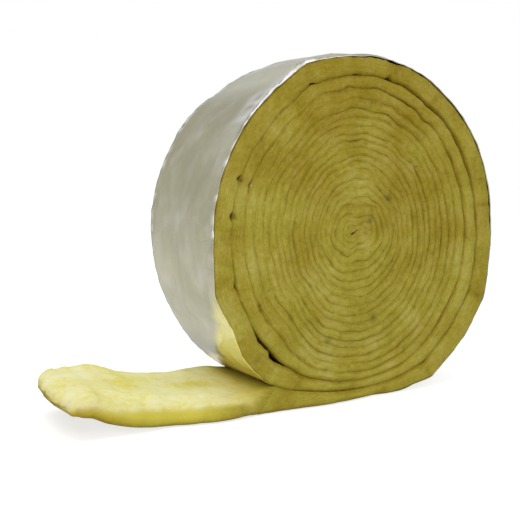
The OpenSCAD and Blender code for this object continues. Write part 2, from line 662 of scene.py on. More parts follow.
class MeshSweep:
    """A mesh made of closed rings of points that follow each other."""

    def __init__(self) -> None:
        """Start with no points."""
        self.points: list[np.ndarray] = []
        self.uvs: list[np.ndarray] = []
        self.marks: dict[str, list[np.ndarray]] = {}
        self.faces: list[np.ndarray] = []
        self.caps: list[list[int]] = []
        self.count = 0

    def add(self, rings: np.ndarray, along: np.ndarray, marks: dict[str, np.ndarray]) -> None:
        """Join rings into a tube that is closed at both its ends.

        Args:
            rings: An (n, m, 3) array, each ring closed on itself.
            along: Distance along the blanket of each ring.
            marks: Named (n, m) values kept on the points.
        """
        n, m, _ = rings.shape
        index = np.arange(n * m).reshape(n, m) + self.count
        nxt = np.roll(index, -1, axis=1)
        quads = np.stack([index[:-1], nxt[:-1], nxt[1:], index[1:]], axis=-1).reshape(-1, 4)
        step = np.linalg.norm(np.roll(rings, -1, axis=1) - rings, axis=2)
        girth = np.concatenate([np.zeros((n, 1)), np.cumsum(step, axis=1)], axis=1)
        self.points.append(rings.reshape(-1, 3))
        self.faces.append(quads)
        corner_u = np.stack([along[:-1], along[:-1], along[1:], along[1:]], axis=-1)
        corner_u = np.repeat(corner_u[:, None, :], m, axis=1)
        corner_v = np.stack([girth[:-1, :-1], girth[:-1, 1:], girth[1:, 1:], girth[1:, :-1]], axis=-1)
        self.uvs.append(np.stack([corner_u, corner_v], axis=-1).reshape(-1, 2))
        for name, values in marks.items():
            self.marks.setdefault(name, []).append(values.reshape(-1))
        self.count += n * m
        for ring, turn in ((0, 1), (-1, -1)):
            self.points.append(rings[ring])
            for name, values in marks.items():
                self.marks[name].append(values[ring])
            self.caps.append((np.arange(m) + self.count)[::turn].tolist())
            self.count += m

    def to_object(self, name: str) -> bpy.types.Object:
        """Make the Blender object.

        Args:
            name: The piece's name.

        Returns:
            The new object, linked to the scene.
        """
        mesh = bpy.data.meshes.new(name)
        quads = np.concatenate(self.faces)
        mesh.from_pydata(np.concatenate(self.points).tolist(), [], quads.tolist() + self.caps)
        uv = np.concatenate(self.uvs)
        layer = mesh.uv_layers.new(name="blanket")
        padded = np.zeros((len(mesh.loops), 2))
        padded[: len(uv)] = uv
        layer.data.foreach_set("uv", padded.ravel())
        for mark, parts in self.marks.items():
            attribute = mesh.attributes.new(mark, "FLOAT", "POINT")
            attribute.data.foreach_set("value", np.concatenate(parts))
        mesh.polygons.foreach_set("use_smooth", [True] * len(mesh.polygons))
        mesh.update()
        piece = bpy.data.objects.new(name, mesh)
        bpy.context.scene.collection.objects.link(piece)
        return piece


def link_nodes(tree: bpy.types.NodeTree, links: Sequence[tuple[Any, Any, Any, Any]]) -> None:
    """Link nodes: each row names a node and its output, then a node and its input."""
    for source, output, target, entry in links:
        tree.links.new(source.outputs[output], target.inputs[entry])


def add_node(tree: bpy.types.NodeTree, kind: str, **values: Any) -> bpy.types.Node:
    """Add a shader node and set its inputs.

    Args:
        tree: The node tree.
        kind: The node's type without its ShaderNode prefix.
        values: Node properties, or inputs by name with spaces as underscores.

    Returns:
        The node.
    """
    node = tree.nodes.new("ShaderNode" + kind)
    for name, value in values.items():
        if hasattr(node, name):
            setattr(node, name, value)
        else:
            node.inputs[name.replace("_", " ")].default_value = value
    return node


def add_ramp(tree: bpy.types.NodeTree, stops: Sequence[tuple[float, Sequence[float]]]) -> bpy.types.Node:
    """Add a colour ramp.

    Args:
        tree: The node tree.
        stops: Place and colour of each stop.

    Returns:
        The ramp's node.
    """
    node = tree.nodes.new("ShaderNodeValToRGB")
    ramp = node.color_ramp
    while len(ramp.elements) < len(stops):
        ramp.elements.new(0.5)
    for element, (place, colour) in zip(ramp.elements, stops):
        element.position = place
        element.color = (*colour, 1.0)
    return node


def tint_by_mark(
    tree: bpy.types.NodeTree, under: bpy.types.Node, mark: str, colour: Colour, blend: str = "MIX"
) -> bpy.types.Node:
    """Tint a colour where the points carry a mark.

    Args:
        tree: The node tree.
        under: The node that gives the colour.
        mark: The mark's name.
        colour: The tint.
        blend: How the tint is laid over the colour.

    Returns:
        The node that gives the tinted colour.
    """
    amount = add_node(tree, "Attribute", attribute_name=mark)
    tinted = add_node(tree, "MixRGB", blend_type=blend, Color2=(*colour, 1.0))
    link_nodes(tree, [(amount, "Fac", tinted, "Fac"), (under, "Color", tinted, "Color1")])
    return tinted


@dataclass(frozen=True)
class LayStreaks:
    """Streaks that run along the blanket, as its fibres and its rolled foil do."""

    name: str = "lay_streaks"

    def group(self) -> bpy.types.NodeTree:
        """Build the node group once.

        Returns:
            The group: streaks and flecks from a lengthwise coordinate.
        """
        found = bpy.data.node_groups.get(self.name)
        if found:
            return found
        tree = bpy.data.node_groups.new(self.name, "ShaderNodeTree")
        for label, default in (("Along", 40.0), ("Across", 900.0), ("Fleck", 350.0)):
            socket = tree.interface.new_socket(name=label, in_out="INPUT", socket_type="NodeSocketFloat")
            socket.default_value = default
        for label in ("Streak", "Flecks"):
            tree.interface.new_socket(name=label, in_out="OUTPUT", socket_type="NodeSocketFloat")
        entry = tree.nodes.new("NodeGroupInput")
        leave = tree.nodes.new("NodeGroupOutput")
        lay = add_node(tree, "UVMap", uv_map="blanket")
        scale = add_node(tree, "CombineXYZ")
        stretched = add_node(tree, "VectorMath", operation="MULTIPLY")
        streak = add_node(tree, "TexNoise", Scale=1.0, Detail=4.0, Roughness=0.6)
        fleck = add_node(tree, "TexNoise", Detail=3.0, Roughness=0.7)
        link_nodes(
            tree,
            [
                (entry, "Along", scale, "X"),
                (entry, "Across", scale, "Y"),
                (lay, "UV", stretched, 0),
                (scale, "Vector", stretched, 1),
                (stretched, "Vector", streak, "Vector"),
                (lay, "UV", fleck, "Vector"),
                (entry, "Fleck", fleck, "Scale"),
                (streak, "Fac", leave, "Streak"),
                (fleck, "Fac", leave, "Flecks"),
            ],
        )
        return tree

    def place(self, tree: bpy.types.NodeTree, along: float, across: float, fleck: float) -> bpy.types.Node:
        """Place the group in a material.

        Args:
            tree: The material's node tree.
            along: Streaks per metre along the blanket.
            across: Streaks per metre across it.
            fleck: Flecks per metre.

        Returns:
            The group's node.
        """
        node = tree.nodes.new("ShaderNodeGroup")
        node.node_tree = self.group()
        for label, value in (("Along", along), ("Across", across), ("Fleck", fleck)):
            node.inputs[label].default_value = value
        return node


@dataclass(frozen=True)
class WoolFinish:
    """Yellow glass wool: dense and dull on its cut edges, pale and fluffy on its open face."""

    cut_dark: Colour = (0.262, 0.208, 0.020)
    cut_mid: Colour = (0.392, 0.334, 0.046)
    cut_light: Colour = (0.515, 0.460, 0.135)
    band: Colour = (0.71, 0.62, 0.085)
    # The open face's paler tones: partly its fluffier wool, partly painted light on the loose end's upward
    # faces.
    face_dark: Colour = (0.81, 0.74, 0.20)
    face_mid: Colour = (0.87, 0.84, 0.42)
    face_light: Colour = (0.90, 0.885, 0.60)
    # Dark stains and specks, and painted shade in holes, in a slit and inside the rim.
    clot: Colour = (0.10, 0.082, 0.014)
    # Painted shade, laid over the wool in the crevices between turns.
    valley: Colour = (0.66, 0.54, 0.22)
    # Browner wool, which also paints shade low on the loose end, under its nose and by the nip.
    aged: Colour = (0.82, 0.72, 0.50)
    crumb: Colour = (0.49, 0.40, 0.17)

    def material(self) -> bpy.types.Material:
        """Build the wool's material.

        Returns:
            The material.
        """
        material = bpy.data.materials.new("glass_wool")
        material.use_nodes = True
        tree = material.node_tree
        shader = tree.nodes["Principled BSDF"]
        shader.inputs["Roughness"].default_value = 1.0
        shader.inputs["Specular IOR Level"].default_value = 0.05
        lay = LayStreaks().place(tree, 55.0, 480.0, 300.0)
        where = add_node(tree, "TexCoord")
        cloud = add_node(tree, "TexNoise", Scale=24.0, Detail=4.0, Roughness=0.55)
        tuft = add_node(tree, "TexNoise", Scale=150.0, Detail=5.0, Roughness=0.7)
        broad = add_node(tree, "MixRGB", Fac=0.45)
        grain = add_node(tree, "MixRGB", Fac=0.4)
        tone = add_node(tree, "MixRGB", Fac=0.4)
        cut = add_ramp(tree, ((0.35, self.cut_dark), (0.5, self.cut_mid), (0.65, self.cut_light)))
        face = add_ramp(tree, ((0.39, self.face_dark), (0.51, self.face_mid), (0.64, self.face_light)))
        # Pale open face: partly fluffier wool, partly painted light.
        bloom = add_node(tree, "Attribute", attribute_name="bloom")
        open_side = add_node(tree, "MixRGB", Color1=(*self.band, 1.0))
        edge = add_node(tree, "Attribute", attribute_name="cut_edge")
        tint = add_node(tree, "MixRGB")
        crumbs = add_node(tree, "TexNoise", Scale=120.0, Detail=3.0, Roughness=0.65)
        sparse = add_node(tree, "MapRange", From_Min=0.58, From_Max=0.74, To_Max=0.9)
        age = add_node(tree, "Attribute", attribute_name="aged")
        old_crumbs = add_node(tree, "Math", operation="MULTIPLY")
        crumbly = add_node(tree, "MixRGB", Color2=(*self.crumb, 1.0))
        # Browning, which also paints shade on the loose end.
        browned = tint_by_mark(tree, crumbly, "aged", self.aged, "MULTIPLY")
        # Painted shade in the crevices between turns.
        shaded = tint_by_mark(tree, browned, "crevice", self.valley, "MULTIPLY")
        # Dark stains and specks, and painted shade in holes, in a slit and inside the rim.
        stained = tint_by_mark(tree, shaded, "clot", self.clot)
        height = add_node(tree, "MixRGB", Fac=0.34)
        fluff = add_node(tree, "MapRange", To_Min=0.4, To_Max=1.0)
        relief = add_node(tree, "Math", operation="MULTIPLY")
        bump = add_node(tree, "Bump", Strength=0.8, Distance=2.6 * MM)
        link_nodes(
            tree,
            [
                (where, "Object", cloud, "Vector"),
                (where, "Object", tuft, "Vector"),
                (where, "Object", crumbs, "Vector"),
                (cloud, "Fac", broad, "Color1"),
                (tuft, "Fac", broad, "Color2"),
                (lay, "Streak", grain, "Color1"),
                (lay, "Flecks", grain, "Color2"),
                (broad, "Color", tone, "Color1"),
                (grain, "Color", tone, "Color2"),
                (tone, "Color", cut, "Fac"),
                (broad, "Color", face, "Fac"),
                (bloom, "Fac", open_side, "Fac"),
                (face, "Color", open_side, "Color2"),
                (edge, "Fac", tint, "Fac"),
                (open_side, "Color", tint, "Color1"),
                (cut, "Color", tint, "Color2"),
                (crumbs, "Fac", sparse, "Value"),
                (sparse, "Result", old_crumbs, 0),
                (age, "Fac", old_crumbs, 1),
                (old_crumbs, "Value", crumbly, "Fac"),
                (tint, "Color", crumbly, "Color1"),
                (stained, "Color", shader, "Base Color"),
                (tuft, "Fac", height, "Color1"),
                (grain, "Color", height, "Color2"),
                (edge, "Fac", fluff, "Value"),
                (height, "Color", relief, 0),
                (fluff, "Result", relief, 1),
                (relief, "Value", bump, "Height"),
                (bump, "Normal", shader, "Normal"),
            ],
        )
        return material


@dataclass(frozen=True)
class FoilFinish:
    """Creased aluminium foil on kraft paper, dulled by handling."""

    dull: Colour = (0.338, 0.320, 0.222)
    plain: Colour = (0.374, 0.358, 0.252)
    bright: Colour = (0.475, 0.465, 0.385)
    # Painted highlight on the foil's cut edges, and glints.
    bare: Colour = (0.95, 0.93, 0.90)
    # Painted sheen, bluish white, by the near lip and in faint patches.
    clean: Colour = (0.80, 0.82, 0.84)
    # Painted reflection, brighter over the top of the rim and low down by the loose end.
    polished: Colour = (0.74, 0.73, 0.60)
    # Wool dust by the nip, which also paints the loose end's yellow reflection in the foil.
    dust: Colour = (0.90, 0.84, 0.30)
    # Deeper yellow low by the nip: partly dust, partly a painted reflection of the shaded loose end.
    soiled: Colour = (0.82, 0.69, 0.13)
    glance: Colour = (0.54, 0.54, 0.51)
    smooth: float = 0.11
    rough: float = 0.25

    def material(self) -> bpy.types.Material:
        """Build the foil's material.

        Returns:
            The material.
        """
        material = bpy.data.materials.new("foil")
        material.use_nodes = True
        tree = material.node_tree
        shader = tree.nodes["Principled BSDF"]
        shader.inputs["Specular Tint"].default_value = (*self.glance, 1.0)
        lay = LayStreaks().place(tree, 18.0, 240.0, 150.0)
        where = add_node(tree, "TexCoord")
        cloud = add_node(tree, "TexNoise", Scale=22.0, Detail=6.0, Roughness=0.62)
        tone = add_node(tree, "MixRGB", Fac=0.12)
        colour = add_ramp(tree, ((0.28, self.dull), (0.5, self.plain), (0.76, self.bright)))
        # Painted reflection over the top of the rim and low down by the loose end.
        handled = tint_by_mark(tree, colour, "polished", self.polished)
        # Painted sheen by the near lip and in faint patches.
        shiny = tint_by_mark(tree, handled, "rubbed", self.clean)
        # Yellow by the nip: partly wool dust, partly a painted reflection of the loose end.
        dusted = tint_by_mark(tree, shiny, "dusty", self.dust)
        # Deeper yellow by the nip: partly dust, partly a painted reflection of the shaded loose end.
        yellowed = tint_by_mark(tree, dusted, "soiled", self.soiled)
        # Painted highlight on the cut edges.
        worn = tint_by_mark(tree, yellowed, "bare_edge", self.bare)
        gloss = add_node(tree, "MapRange", From_Min=0.3, From_Max=0.7, To_Min=self.smooth, To_Max=self.rough)
        dusty = add_node(tree, "Attribute", attribute_name="dusty")
        matt = add_node(tree, "MapRange", To_Min=1.0, To_Max=0.15)
        crease = add_node(tree, "TexVoronoi", feature="DISTANCE_TO_EDGE", Scale=42.0)
        fold = add_node(tree, "MapRange", From_Max=0.06)
        crinkle = add_node(tree, "MixRGB", Fac=0.3)
        height = add_node(tree, "MixRGB", Fac=0.4)
        bump = add_node(tree, "Bump", Strength=0.4, Distance=0.6 * MM)
        link_nodes(
            tree,
            [
                (where, "Object", cloud, "Vector"),
                (where, "Object", crease, "Vector"),
                (cloud, "Fac", tone, "Color1"),
                (lay, "Streak", tone, "Color2"),
                (tone, "Color", colour, "Fac"),
                (worn, "Color", shader, "Base Color"),
                (tone, "Color", gloss, "Value"),
                (gloss, "Result", shader, "Roughness"),
                (dusty, "Fac", matt, "Value"),
                (matt, "Result", shader, "Metallic"),
                (crease, "Distance", fold, "Value"),
                (cloud, "Fac", crinkle, "Color1"),
                (lay, "Flecks", crinkle, "Color2"),
                (crinkle, "Color", height, "Color1"),
                (fold, "Result", height, "Color2"),
                (height, "Color", bump, "Height"),
                (bump, "Normal", shader, "Normal"),
            ],
        )
        return material


@dataclass(frozen=True)
class Turns:
    """The two ends of the winding, which kinked and crumpled each in its own way."""

    near: Winding
    far: Winding
    nip_blend: float = 70.0

    @classmethod
    def of(cls, sizes: RollSizes) -> "Turns":
        """Wind both ends.

        Args:
            sizes: The roll's driving sizes.

        Returns:
            The two windings.
        """
        far = Winding(sizes, nip_angle=329.0, bed_rise=14 * MM, buckles=FAR_BUCKLES, seed=40.0)
        return cls(Winding(sizes), far)

    def at(self, side: Side) -> Winding:
        """Give one end's winding."""
        return side.pick(self.near, self.far)

    def angles(self, side: Side, winding: np.ndarray) -> np.ndarray:
        """Shift winding angles so that the blanket leaves the floor at one end's own nip.

        Args:
            side: Which end.
            winding: Winding angles of the near end.

        Returns:
            Winding angles of that end.
        """
        start = self.near.nip_angle - TURN
        shift = self.at(side).nip_angle - self.near.nip_angle
        return winding + shift * smooth_step(winding, start + self.nip_blend, start)


@dataclass(frozen=True)
class LooseEnd:
    """The stretch of blanket that lies out on the floor and curls up at its tip."""

    sizes: RollSizes
    turns: Turns
    nose: float = 13 * MM
    nose_start: float = 0.3
    nose_lift: float = 0.08
    side_l: float = 230 * MM
    near_corner: float = 4 * MM
    far_corner: float = 17 * MM
    far_short: float = 13 * MM
    far_short_from: float = 0.2
    tip_ragged: float = 4 * MM
    tear_mean: float = 0.5
    tear_most: float = 1.6
    tear_reach: float = 0.35
    tears: tuple[Wander, ...] = (Wander(1.0, 30 * MM, 5.0), Wander(0.7, 11 * MM, 8.0))
    wave_l: float = 250 * MM
    side_waves: tuple[Wander, ...] = (Wander(2.4 * MM, 50 * MM, 41.0), Wander(1.1 * MM, 16 * MM, 45.0))
    lumps: tuple[Wander, ...] = (
        Wander(2.4 * MM, 46 * MM, 3.0),
        Wander(1.4 * MM, 19 * MM, 9.0),
        Wander(0.6 * MM, 7 * MM, 15.0),
    )
    near_low_r: float = 5 * MM
    far_low_r: float = 4 * MM
    near_lifts: Curve = (
        (-360 * MM, -3 * MM), (-349 * MM, -0.3 * MM), (-335 * MM, 2.4 * MM), (-318 * MM, 0.4 * MM),
        (-300 * MM, 0.0),
    )
    near_thicknesses: Curve = (
        (-360 * MM, 17 * MM), (-330 * MM, 24 * MM), (-290 * MM, 26 * MM), (-225 * MM, 23 * MM),
        (-165 * MM, 23.5 * MM), (-100 * MM, 26 * MM),
    )
    far_thicknesses: Curve = (
        (-360 * MM, 19 * MM), (-337 * MM, 27.5 * MM), (-319 * MM, 34 * MM), (-295 * MM, 40 * MM),
        (-272 * MM, 38.5 * MM), (-250 * MM, 34.5 * MM), (-225 * MM, 31.5 * MM), (-195 * MM, 27 * MM),
        (-165 * MM, 27.5 * MM), (-100 * MM, 27 * MM),
    )
    near_drawn_in: Curve = (
        (-360 * MM, 5 * MM), (-300 * MM, 6 * MM), (-250 * MM, 6.5 * MM), (-220 * MM, 1 * MM),
        (-198 * MM, -4.5 * MM), (-175 * MM, -4.5 * MM), (-140 * MM, 0.0),
    )
    far_drawn_in: Curve = ((-360 * MM, 5 * MM), (-230 * MM, 4 * MM), (-150 * MM, 0.0))

    def low_r(self, side: Side) -> float:
        """Give the rounding of the lower edge on one side."""
        return side.pick(self.near_low_r, self.far_low_r)

    def underside(self, side: Side, x: np.ndarray) -> np.ndarray:
        """Give the height of the foil side, whose near edge is kinked by the tip.

        Args:
            side: Which side of the blanket.
            x: Places along the floor.

        Returns:
            The height above the floor.
        """
        reach = -self.sizes.flat_l - self.sizes.tip_x
        radius = (reach**2 + self.sizes.curl_rise**2) / (2 * self.sizes.curl_rise)
        past = np.clip(-self.sizes.flat_l - x, 0.0, reach)
        kink = eased_points(self.near_lifts, x) if side is Side.NEAR else 0.0
        return radius - np.sqrt(radius**2 - past**2) + kink

    def nose_share(self, x: np.ndarray) -> np.ndarray:
        """Give the share of the full thickness that the tip's rounded nose keeps.

        Args:
            x: Places along the floor.

        Returns:
            The share, up to 1.
        """
        left = np.clip((x - self.sizes.tip_x) / self.nose, 0.0, 1.0)
        return self.nose_start + (1 - self.nose_start) * quarter_round(left)

    def nip(self, side: Side) -> tuple[np.ndarray, np.ndarray]:
        """Give the nip's place on the foil side and on the open side of one end.

        Args:
            side: Which end.

        Returns:
            The two places, each as x and z.
        """
        winding = self.turns.at(side)
        angle = np.array([winding.nip_angle - TURN])
        low = winding.place(angle, winding.boundary(angle))[0]
        return low, winding.place(angle, winding.boundary(angle + TURN))[0]

    def edge(self, side: Side, share: np.ndarray) -> np.ndarray:
        """Give how far the loose end's side lies in from the roll's end.

        Args:
            side: Which end.
            share: Share of the way from the tip to the nip.

        Returns:
            The distance.
        """
        reach = side.pick(self.near_corner, self.far_corner)
        corner = reach * (1 - quarter_round(np.clip(share * self.side_l / reach, 0.0, 1.0)))
        level = np.zeros_like(share)
        wave = wandering(self.side_waves, np.stack([share * self.wave_l, level, level], axis=1), side.value)
        low, _ = self.nip(side)
        drawn_in = side.pick(self.near_drawn_in, self.far_drawn_in)
        pulled = eased_points(drawn_in, self.sizes.tip_x + (low[0] - self.sizes.tip_x) * share)
        return corner + (pulled + wave) * smooth_step(share, 1.0, 0.8)

    def retreat(self, share: np.ndarray, y: np.ndarray) -> np.ndarray:
        """Give how far the torn, slanting tip falls short of a straight cut.

        Args:
            share: Share of the way from the tip to the nip.
            y: Places across the blanket, (n, m).

        Returns:
            The shortfall, towards the roll.
        """
        line = np.stack([np.zeros_like(y), y, np.zeros_like(y)], axis=-1)
        torn = self.tear_mean + wandering(self.tears, line)
        short = self.tip_ragged * np.clip(torn, 0.0, self.tear_most)
        slanted = smooth_step(y, self.far_short_from * self.sizes.half_w, self.sizes.half_w)
        short = short + self.far_short * slanted
        return short * (np.clip(1 - share / self.tear_reach, 0.0, 1.0) ** 2)[:, None]


@dataclass(frozen=True)
class WoolBlanket:
    """The glass wool, swept as one blanket from the tip of its loose end into the eye."""

    sizes: RollSizes
    turns: Turns
    loose_end: LooseEnd
    step: float = 3.1 * MM
    inner_end: float = 300.0
    least_t: float = 3 * MM
    swell_depth: float = 10 * MM
    squeezed: Crease = Crease(-15.0, 6 * MM, 13.0)
    stand_off: Ragged = Ragged(0.0, 1.8 * MM, -math.inf, math.inf, reach=70.0, seed=0.0, slope=1.9)
    near_seed: float = 11.0
    far_seed: float = 31.0
    stand_from: Span = (-40.0, 10.0)
    stand_in_full: Span = (300.0, 420.0)
    lay_ratio: float = 3.0
    edge_roughness: tuple[Wander, ...] = (Wander(1.2 * MM, 21 * MM, 3.0), Wander(0.6 * MM, 9 * MM, 6.0))
    clot_depth: float = 2.0 * MM
    foil_edge: tuple[float, ...] = (0.0, 0.4, 1.0)
    open_edge: tuple[float, ...] = (0.0, 0.22, 0.55, 1.0)
    gaping: Span = (2.2 * MM, 4.5 * MM)
    least_sharp: float = 0.2
    widest_edge: float = 0.44
    full_valley: float = 4.5 * MM
    crease_shade: float = 0.35 / MM
    crease_from: float = 0.12
    frayed: Stretch = Stretch((146.0, 160.0), (196.0, 206.0), 2.0 * MM)
    fray_tears: Ragged = Ragged(0.2, 1.0, 0.0, math.inf, reach=2.4, seed=2.9)
    # A broken line of painted shadow inside the rim, between the foil's lip and the wool.
    rim_dirt: Stretch = Stretch((208.0, 222.0), (284.0, 300.0))
    dirt_breaks: Ragged = Ragged(0.9, 1.4, 0.0, 1.6, reach=3.4, seed=6.1)
    darkest_dirt: float = 0.75
    pores: Wander = Wander(1.0, 7 * MM, 77.0)
    pore_span: Span = (0.46, 0.66)
    pore_dark: float = 0.3
    fades: Wander = Wander(1.0, 48 * MM, 81.0)
    fade_span: Span = (-0.45, 0.35)
    outer_span: Span = (0.86, 0.93)
    outer_age: float = 0.3
    age_mean: float = 0.22
    age_up: float = 0.65
    age_across: float = 0.2
    blotches: Wander = Wander(0.8, 52 * MM, 91.0)
    outer_blotches: Wander = Wander(0.7, 24 * MM, 93.0)
    # Painted light: the end's cut edges turn paler low down, towards the floor.
    foot_span: Span = (-0.6, -0.9)
    foot_fluff: float = 0.12
    loose_rings_n: int = 160
    ring_spacing: float = 1.35
    near_top_w: float = 21 * MM
    near_top_h: float = 15 * MM
    far_top_w: float = 13 * MM
    far_top_h: float = 9 * MM
    top_points: int = 10
    top_share: float = 0.62
    low_angles: tuple[float, ...] = (0.0, 35.0, 65.0, 90.0)
    low_share: float = 0.3
    settled_edge: float = 4 * MM
    settled_share: float = 0.4
    settled_span: Span = (0.84, 1.0)
    nip_span: Span = (0.86, 1.0)
    join_span: Span = (0.82, 1.0)
    calm_tip: Span = (0.0, 0.08)
    lump_shape: float = 1.5
    facing_room: float = 1.6 * MM
    rim_room: float = 0.6 * MM
    face_points: int = 26
    under_points: int = 8
    inner_face: Span = (6 * MM, 26 * MM)
    tip_span: Span = (-270 * MM, -335 * MM)
    fluff_span: Span = (-150 * MM, -235 * MM)
    nip_slant: float = 0.25
    kept_span: Span = (-66 * MM, -30 * MM)
    band_span: Span = (-118 * MM, -195 * MM)
    patch_width: float = 24 * MM
    patch_strength: float = 0.45
    shade_span: Span = (-225 * MM, -150 * MM)
    nose_span: Span = (-338 * MM, -354 * MM)
    nose_height: Span = (44 * MM, 28 * MM)
    # Dark stains, and painted shade in two holes and in a slit.
    spots: tuple[Spot, ...] = (
        Spot(31 * MM, 234 * MM, 5.5 * MM, 0.55),
        Spot(11 * MM, 94 * MM, 5.0 * MM, 0.55),
        Spot(-55 * MM, 72 * MM, 4.0 * MM, 0.4),
        Spot(70 * MM, 211 * MM, 4.0 * MM, 0.4),
        Spot(4 * MM, 208 * MM, 3.5 * MM, 0.6),
        Spot(-169 * MM, 255 * MM, 3.0 * MM, 0.95),
        Spot(-179 * MM, 217 * MM, 3.4 * MM, 0.95),
        Spot(-147 * MM, 119.5 * MM, 2.0 * MM, 0.8),
        Spot(-145 * MM, 115 * MM, 2.0 * MM, 0.8),
    )
    yellow_patches: tuple[tuple[float, float, float], ...] = (
        (-292 * MM, -8 * MM, 40 * MM),
        (-195 * MM, -12 * MM, 22 * MM),
    )
    creases: tuple[Crease, ...] = (
        Crease(29.0, 1.6 * MM, 1.4),
        Crease(64.0, 1.6 * MM, 1.4),
        Crease(99.0, 3.2 * MM, 1.0),
        Crease(146.0, 1.2 * MM, 1.6),
        Crease(167.0, 1.2 * MM, 2.0),
        Crease(205.0, 1.4 * MM, 2.0),
        Crease(284.0, 1.2 * MM, 1.6),
        Crease(331.0, 1.8 * MM, 1.5),
    )

    def edge_profile(
        self, path: Winding, own: np.ndarray, thickness: np.ndarray
    ) -> tuple[np.ndarray, np.ndarray]:
        """Lay points across a cut edge, from the foil side to the open side.

        Args:
            path: The winding on that end.
            own: The winding angle of each ring.
            thickness: The blanket's thickness at each ring.

        Returns:
            Each point's share of the way across, and how far it is set back.
        """
        shares, backs = [], []
        for winding, places in ((own, self.foil_edge), (own + TURN, self.open_edge)):
            in_from = np.array(places)
            depth = path.groove(winding)
            wide = path.edge_width(winding)
            gaping = smooth_step(depth, *self.gaping)
            if winding is own:
                crisp = np.where(own < TURN, 0.0, gaping)
                gaping = np.where(own < TURN, 1.0, gaping)
                depth = depth * (1.0 - (1.0 - path.crisp_depth) * crisp)
                wide = wide * (1.0 - (1.0 - path.crisp_edge) * crisp)
            wide = np.minimum(wide, self.widest_edge * thickness)
            sharp, rounded = (1.0 - in_from) ** 2, 0.5 + 0.5 * np.cos(np.pi * in_from)
            sharpness = self.least_sharp + (1.0 - self.least_sharp) * gaping
            profile = rounded + (sharp - rounded) * sharpness[:, None]
            shares.append(in_from * (wide / thickness)[:, None])
            backs.append(profile * depth[:, None])
        shares[1] = 1.0 - shares[1]
        mid = 0.5 * (shares[0][:, -1:] + shares[1][:, -1:])
        across = np.concatenate([shares[0], mid, shares[1][:, ::-1]], axis=1)
        return across, np.concatenate([backs[0], 0.0 * mid, backs[1][:, ::-1]], axis=1)

    def wound_end(self, side: Side, winding: np.ndarray) -> tuple[np.ndarray, np.ndarray]:
        """Make one end of the wound part.

        Args:
            side: Which end.
            winding: The winding angle of each ring.

        Returns:
            Each ring's points on that end, from the foil side to the open side, and how deep each lies in a
            crevice, which sets its painted shade.
        """
        path = self.turns.at(side)
        own = self.turns.angles(side, winding)
        room = np.where(own < TURN, self.facing_room, self.sizes.foil_t)
        outer = path.boundary(own) - room
        inner = np.minimum(path.boundary(own + TURN) + path.gap(own + TURN), outer - self.least_t)
        to_rim = np.where(own < TURN, self.facing_room - self.rim_room, 0.0)
        cut_outer = outer + 0.5 * path.overlap(own) + to_rim - self.fraying(own)
        cut_inner = inner - 0.5 * path.overlap(own + TURN)
        across, back = self.edge_profile(path, own, cut_outer - cut_inner)
        bowed = np.sin(np.pi * (self.crease_from + (1 - self.crease_from) * across))
        crease = self.creasing(own)[:, None] * bowed
        # Painted shade: darker the deeper an edge is set back into a crevice, and along creases.
        valley = np.sqrt(np.clip(back / self.full_valley, 0.0, 1.0)) + self.crease_shade * crease
        valley = np.minimum(valley, 1.0)
        # A broken line of painted shadow inside the rim, between the foil's lip and the wool.
        valley[:, :2] += self.rim_line(own)[:, None]
        radius = cut_outer[:, None] + (cut_inner - cut_outer)[:, None] * across
        radius = np.concatenate([outer[:, None], radius, inner[:, None]], axis=1)
        deep = np.full((len(own), 1), self.swell_depth)
        back = np.concatenate([deep, back + crease, deep], axis=1)
        valley = np.concatenate([np.ones_like(deep), valley, np.ones_like(deep)], axis=1)
        spread = np.repeat(own[:, None], radius.shape[1], axis=1)
        flat = path.place(spread.ravel(), radius.ravel()).reshape(*radius.shape, 2)
        return self.end_points(side, flat, back, own), valley

    def wound_rings(self) -> tuple[np.ndarray, np.ndarray, dict[str, np.ndarray]]:
        """Make the rings of the wound part.

        Returns:
            The rings, the distance of each along the blanket, and their marks.
        """
        start = self.turns.near.nip_angle - TURN
        end = TURN * (self.sizes.turns - 1) + self.inner_end
        winding = self.turns.near.steps(start, end, self.step)
        near, near_valley = self.wound_end(Side.NEAR, winding)
        far, far_valley = self.wound_end(Side.FAR, winding)
        rings = np.concatenate([near, far[:, ::-1]], axis=1)
        valley = np.concatenate([near_valley, far_valley[:, ::-1]], axis=1)
        return rings, run_along(rings[:, 0]), self.marks_for(rings, valley)

    def fraying(self, winding: np.ndarray) -> np.ndarray:
        """Give how far the wool's cut edge is frayed away from the facing, over the top of the roll."""
        return self.frayed.at(winding) * self.fray_tears.at(winding)

    def rim_line(self, winding: np.ndarray) -> np.ndarray:
        """Give how dark the broken line of painted shadow is inside the rim, between the foil's lip and the
        wool, towards the loose end.
        """
        return self.rim_dirt.at(winding) * self.dirt_breaks.at(winding)

    def creasing(self, winding: np.ndarray) -> np.ndarray:
        """Give how deep the outer turn is creased across at each winding angle."""
        return sum(crease.at(winding) for crease in self.creases)

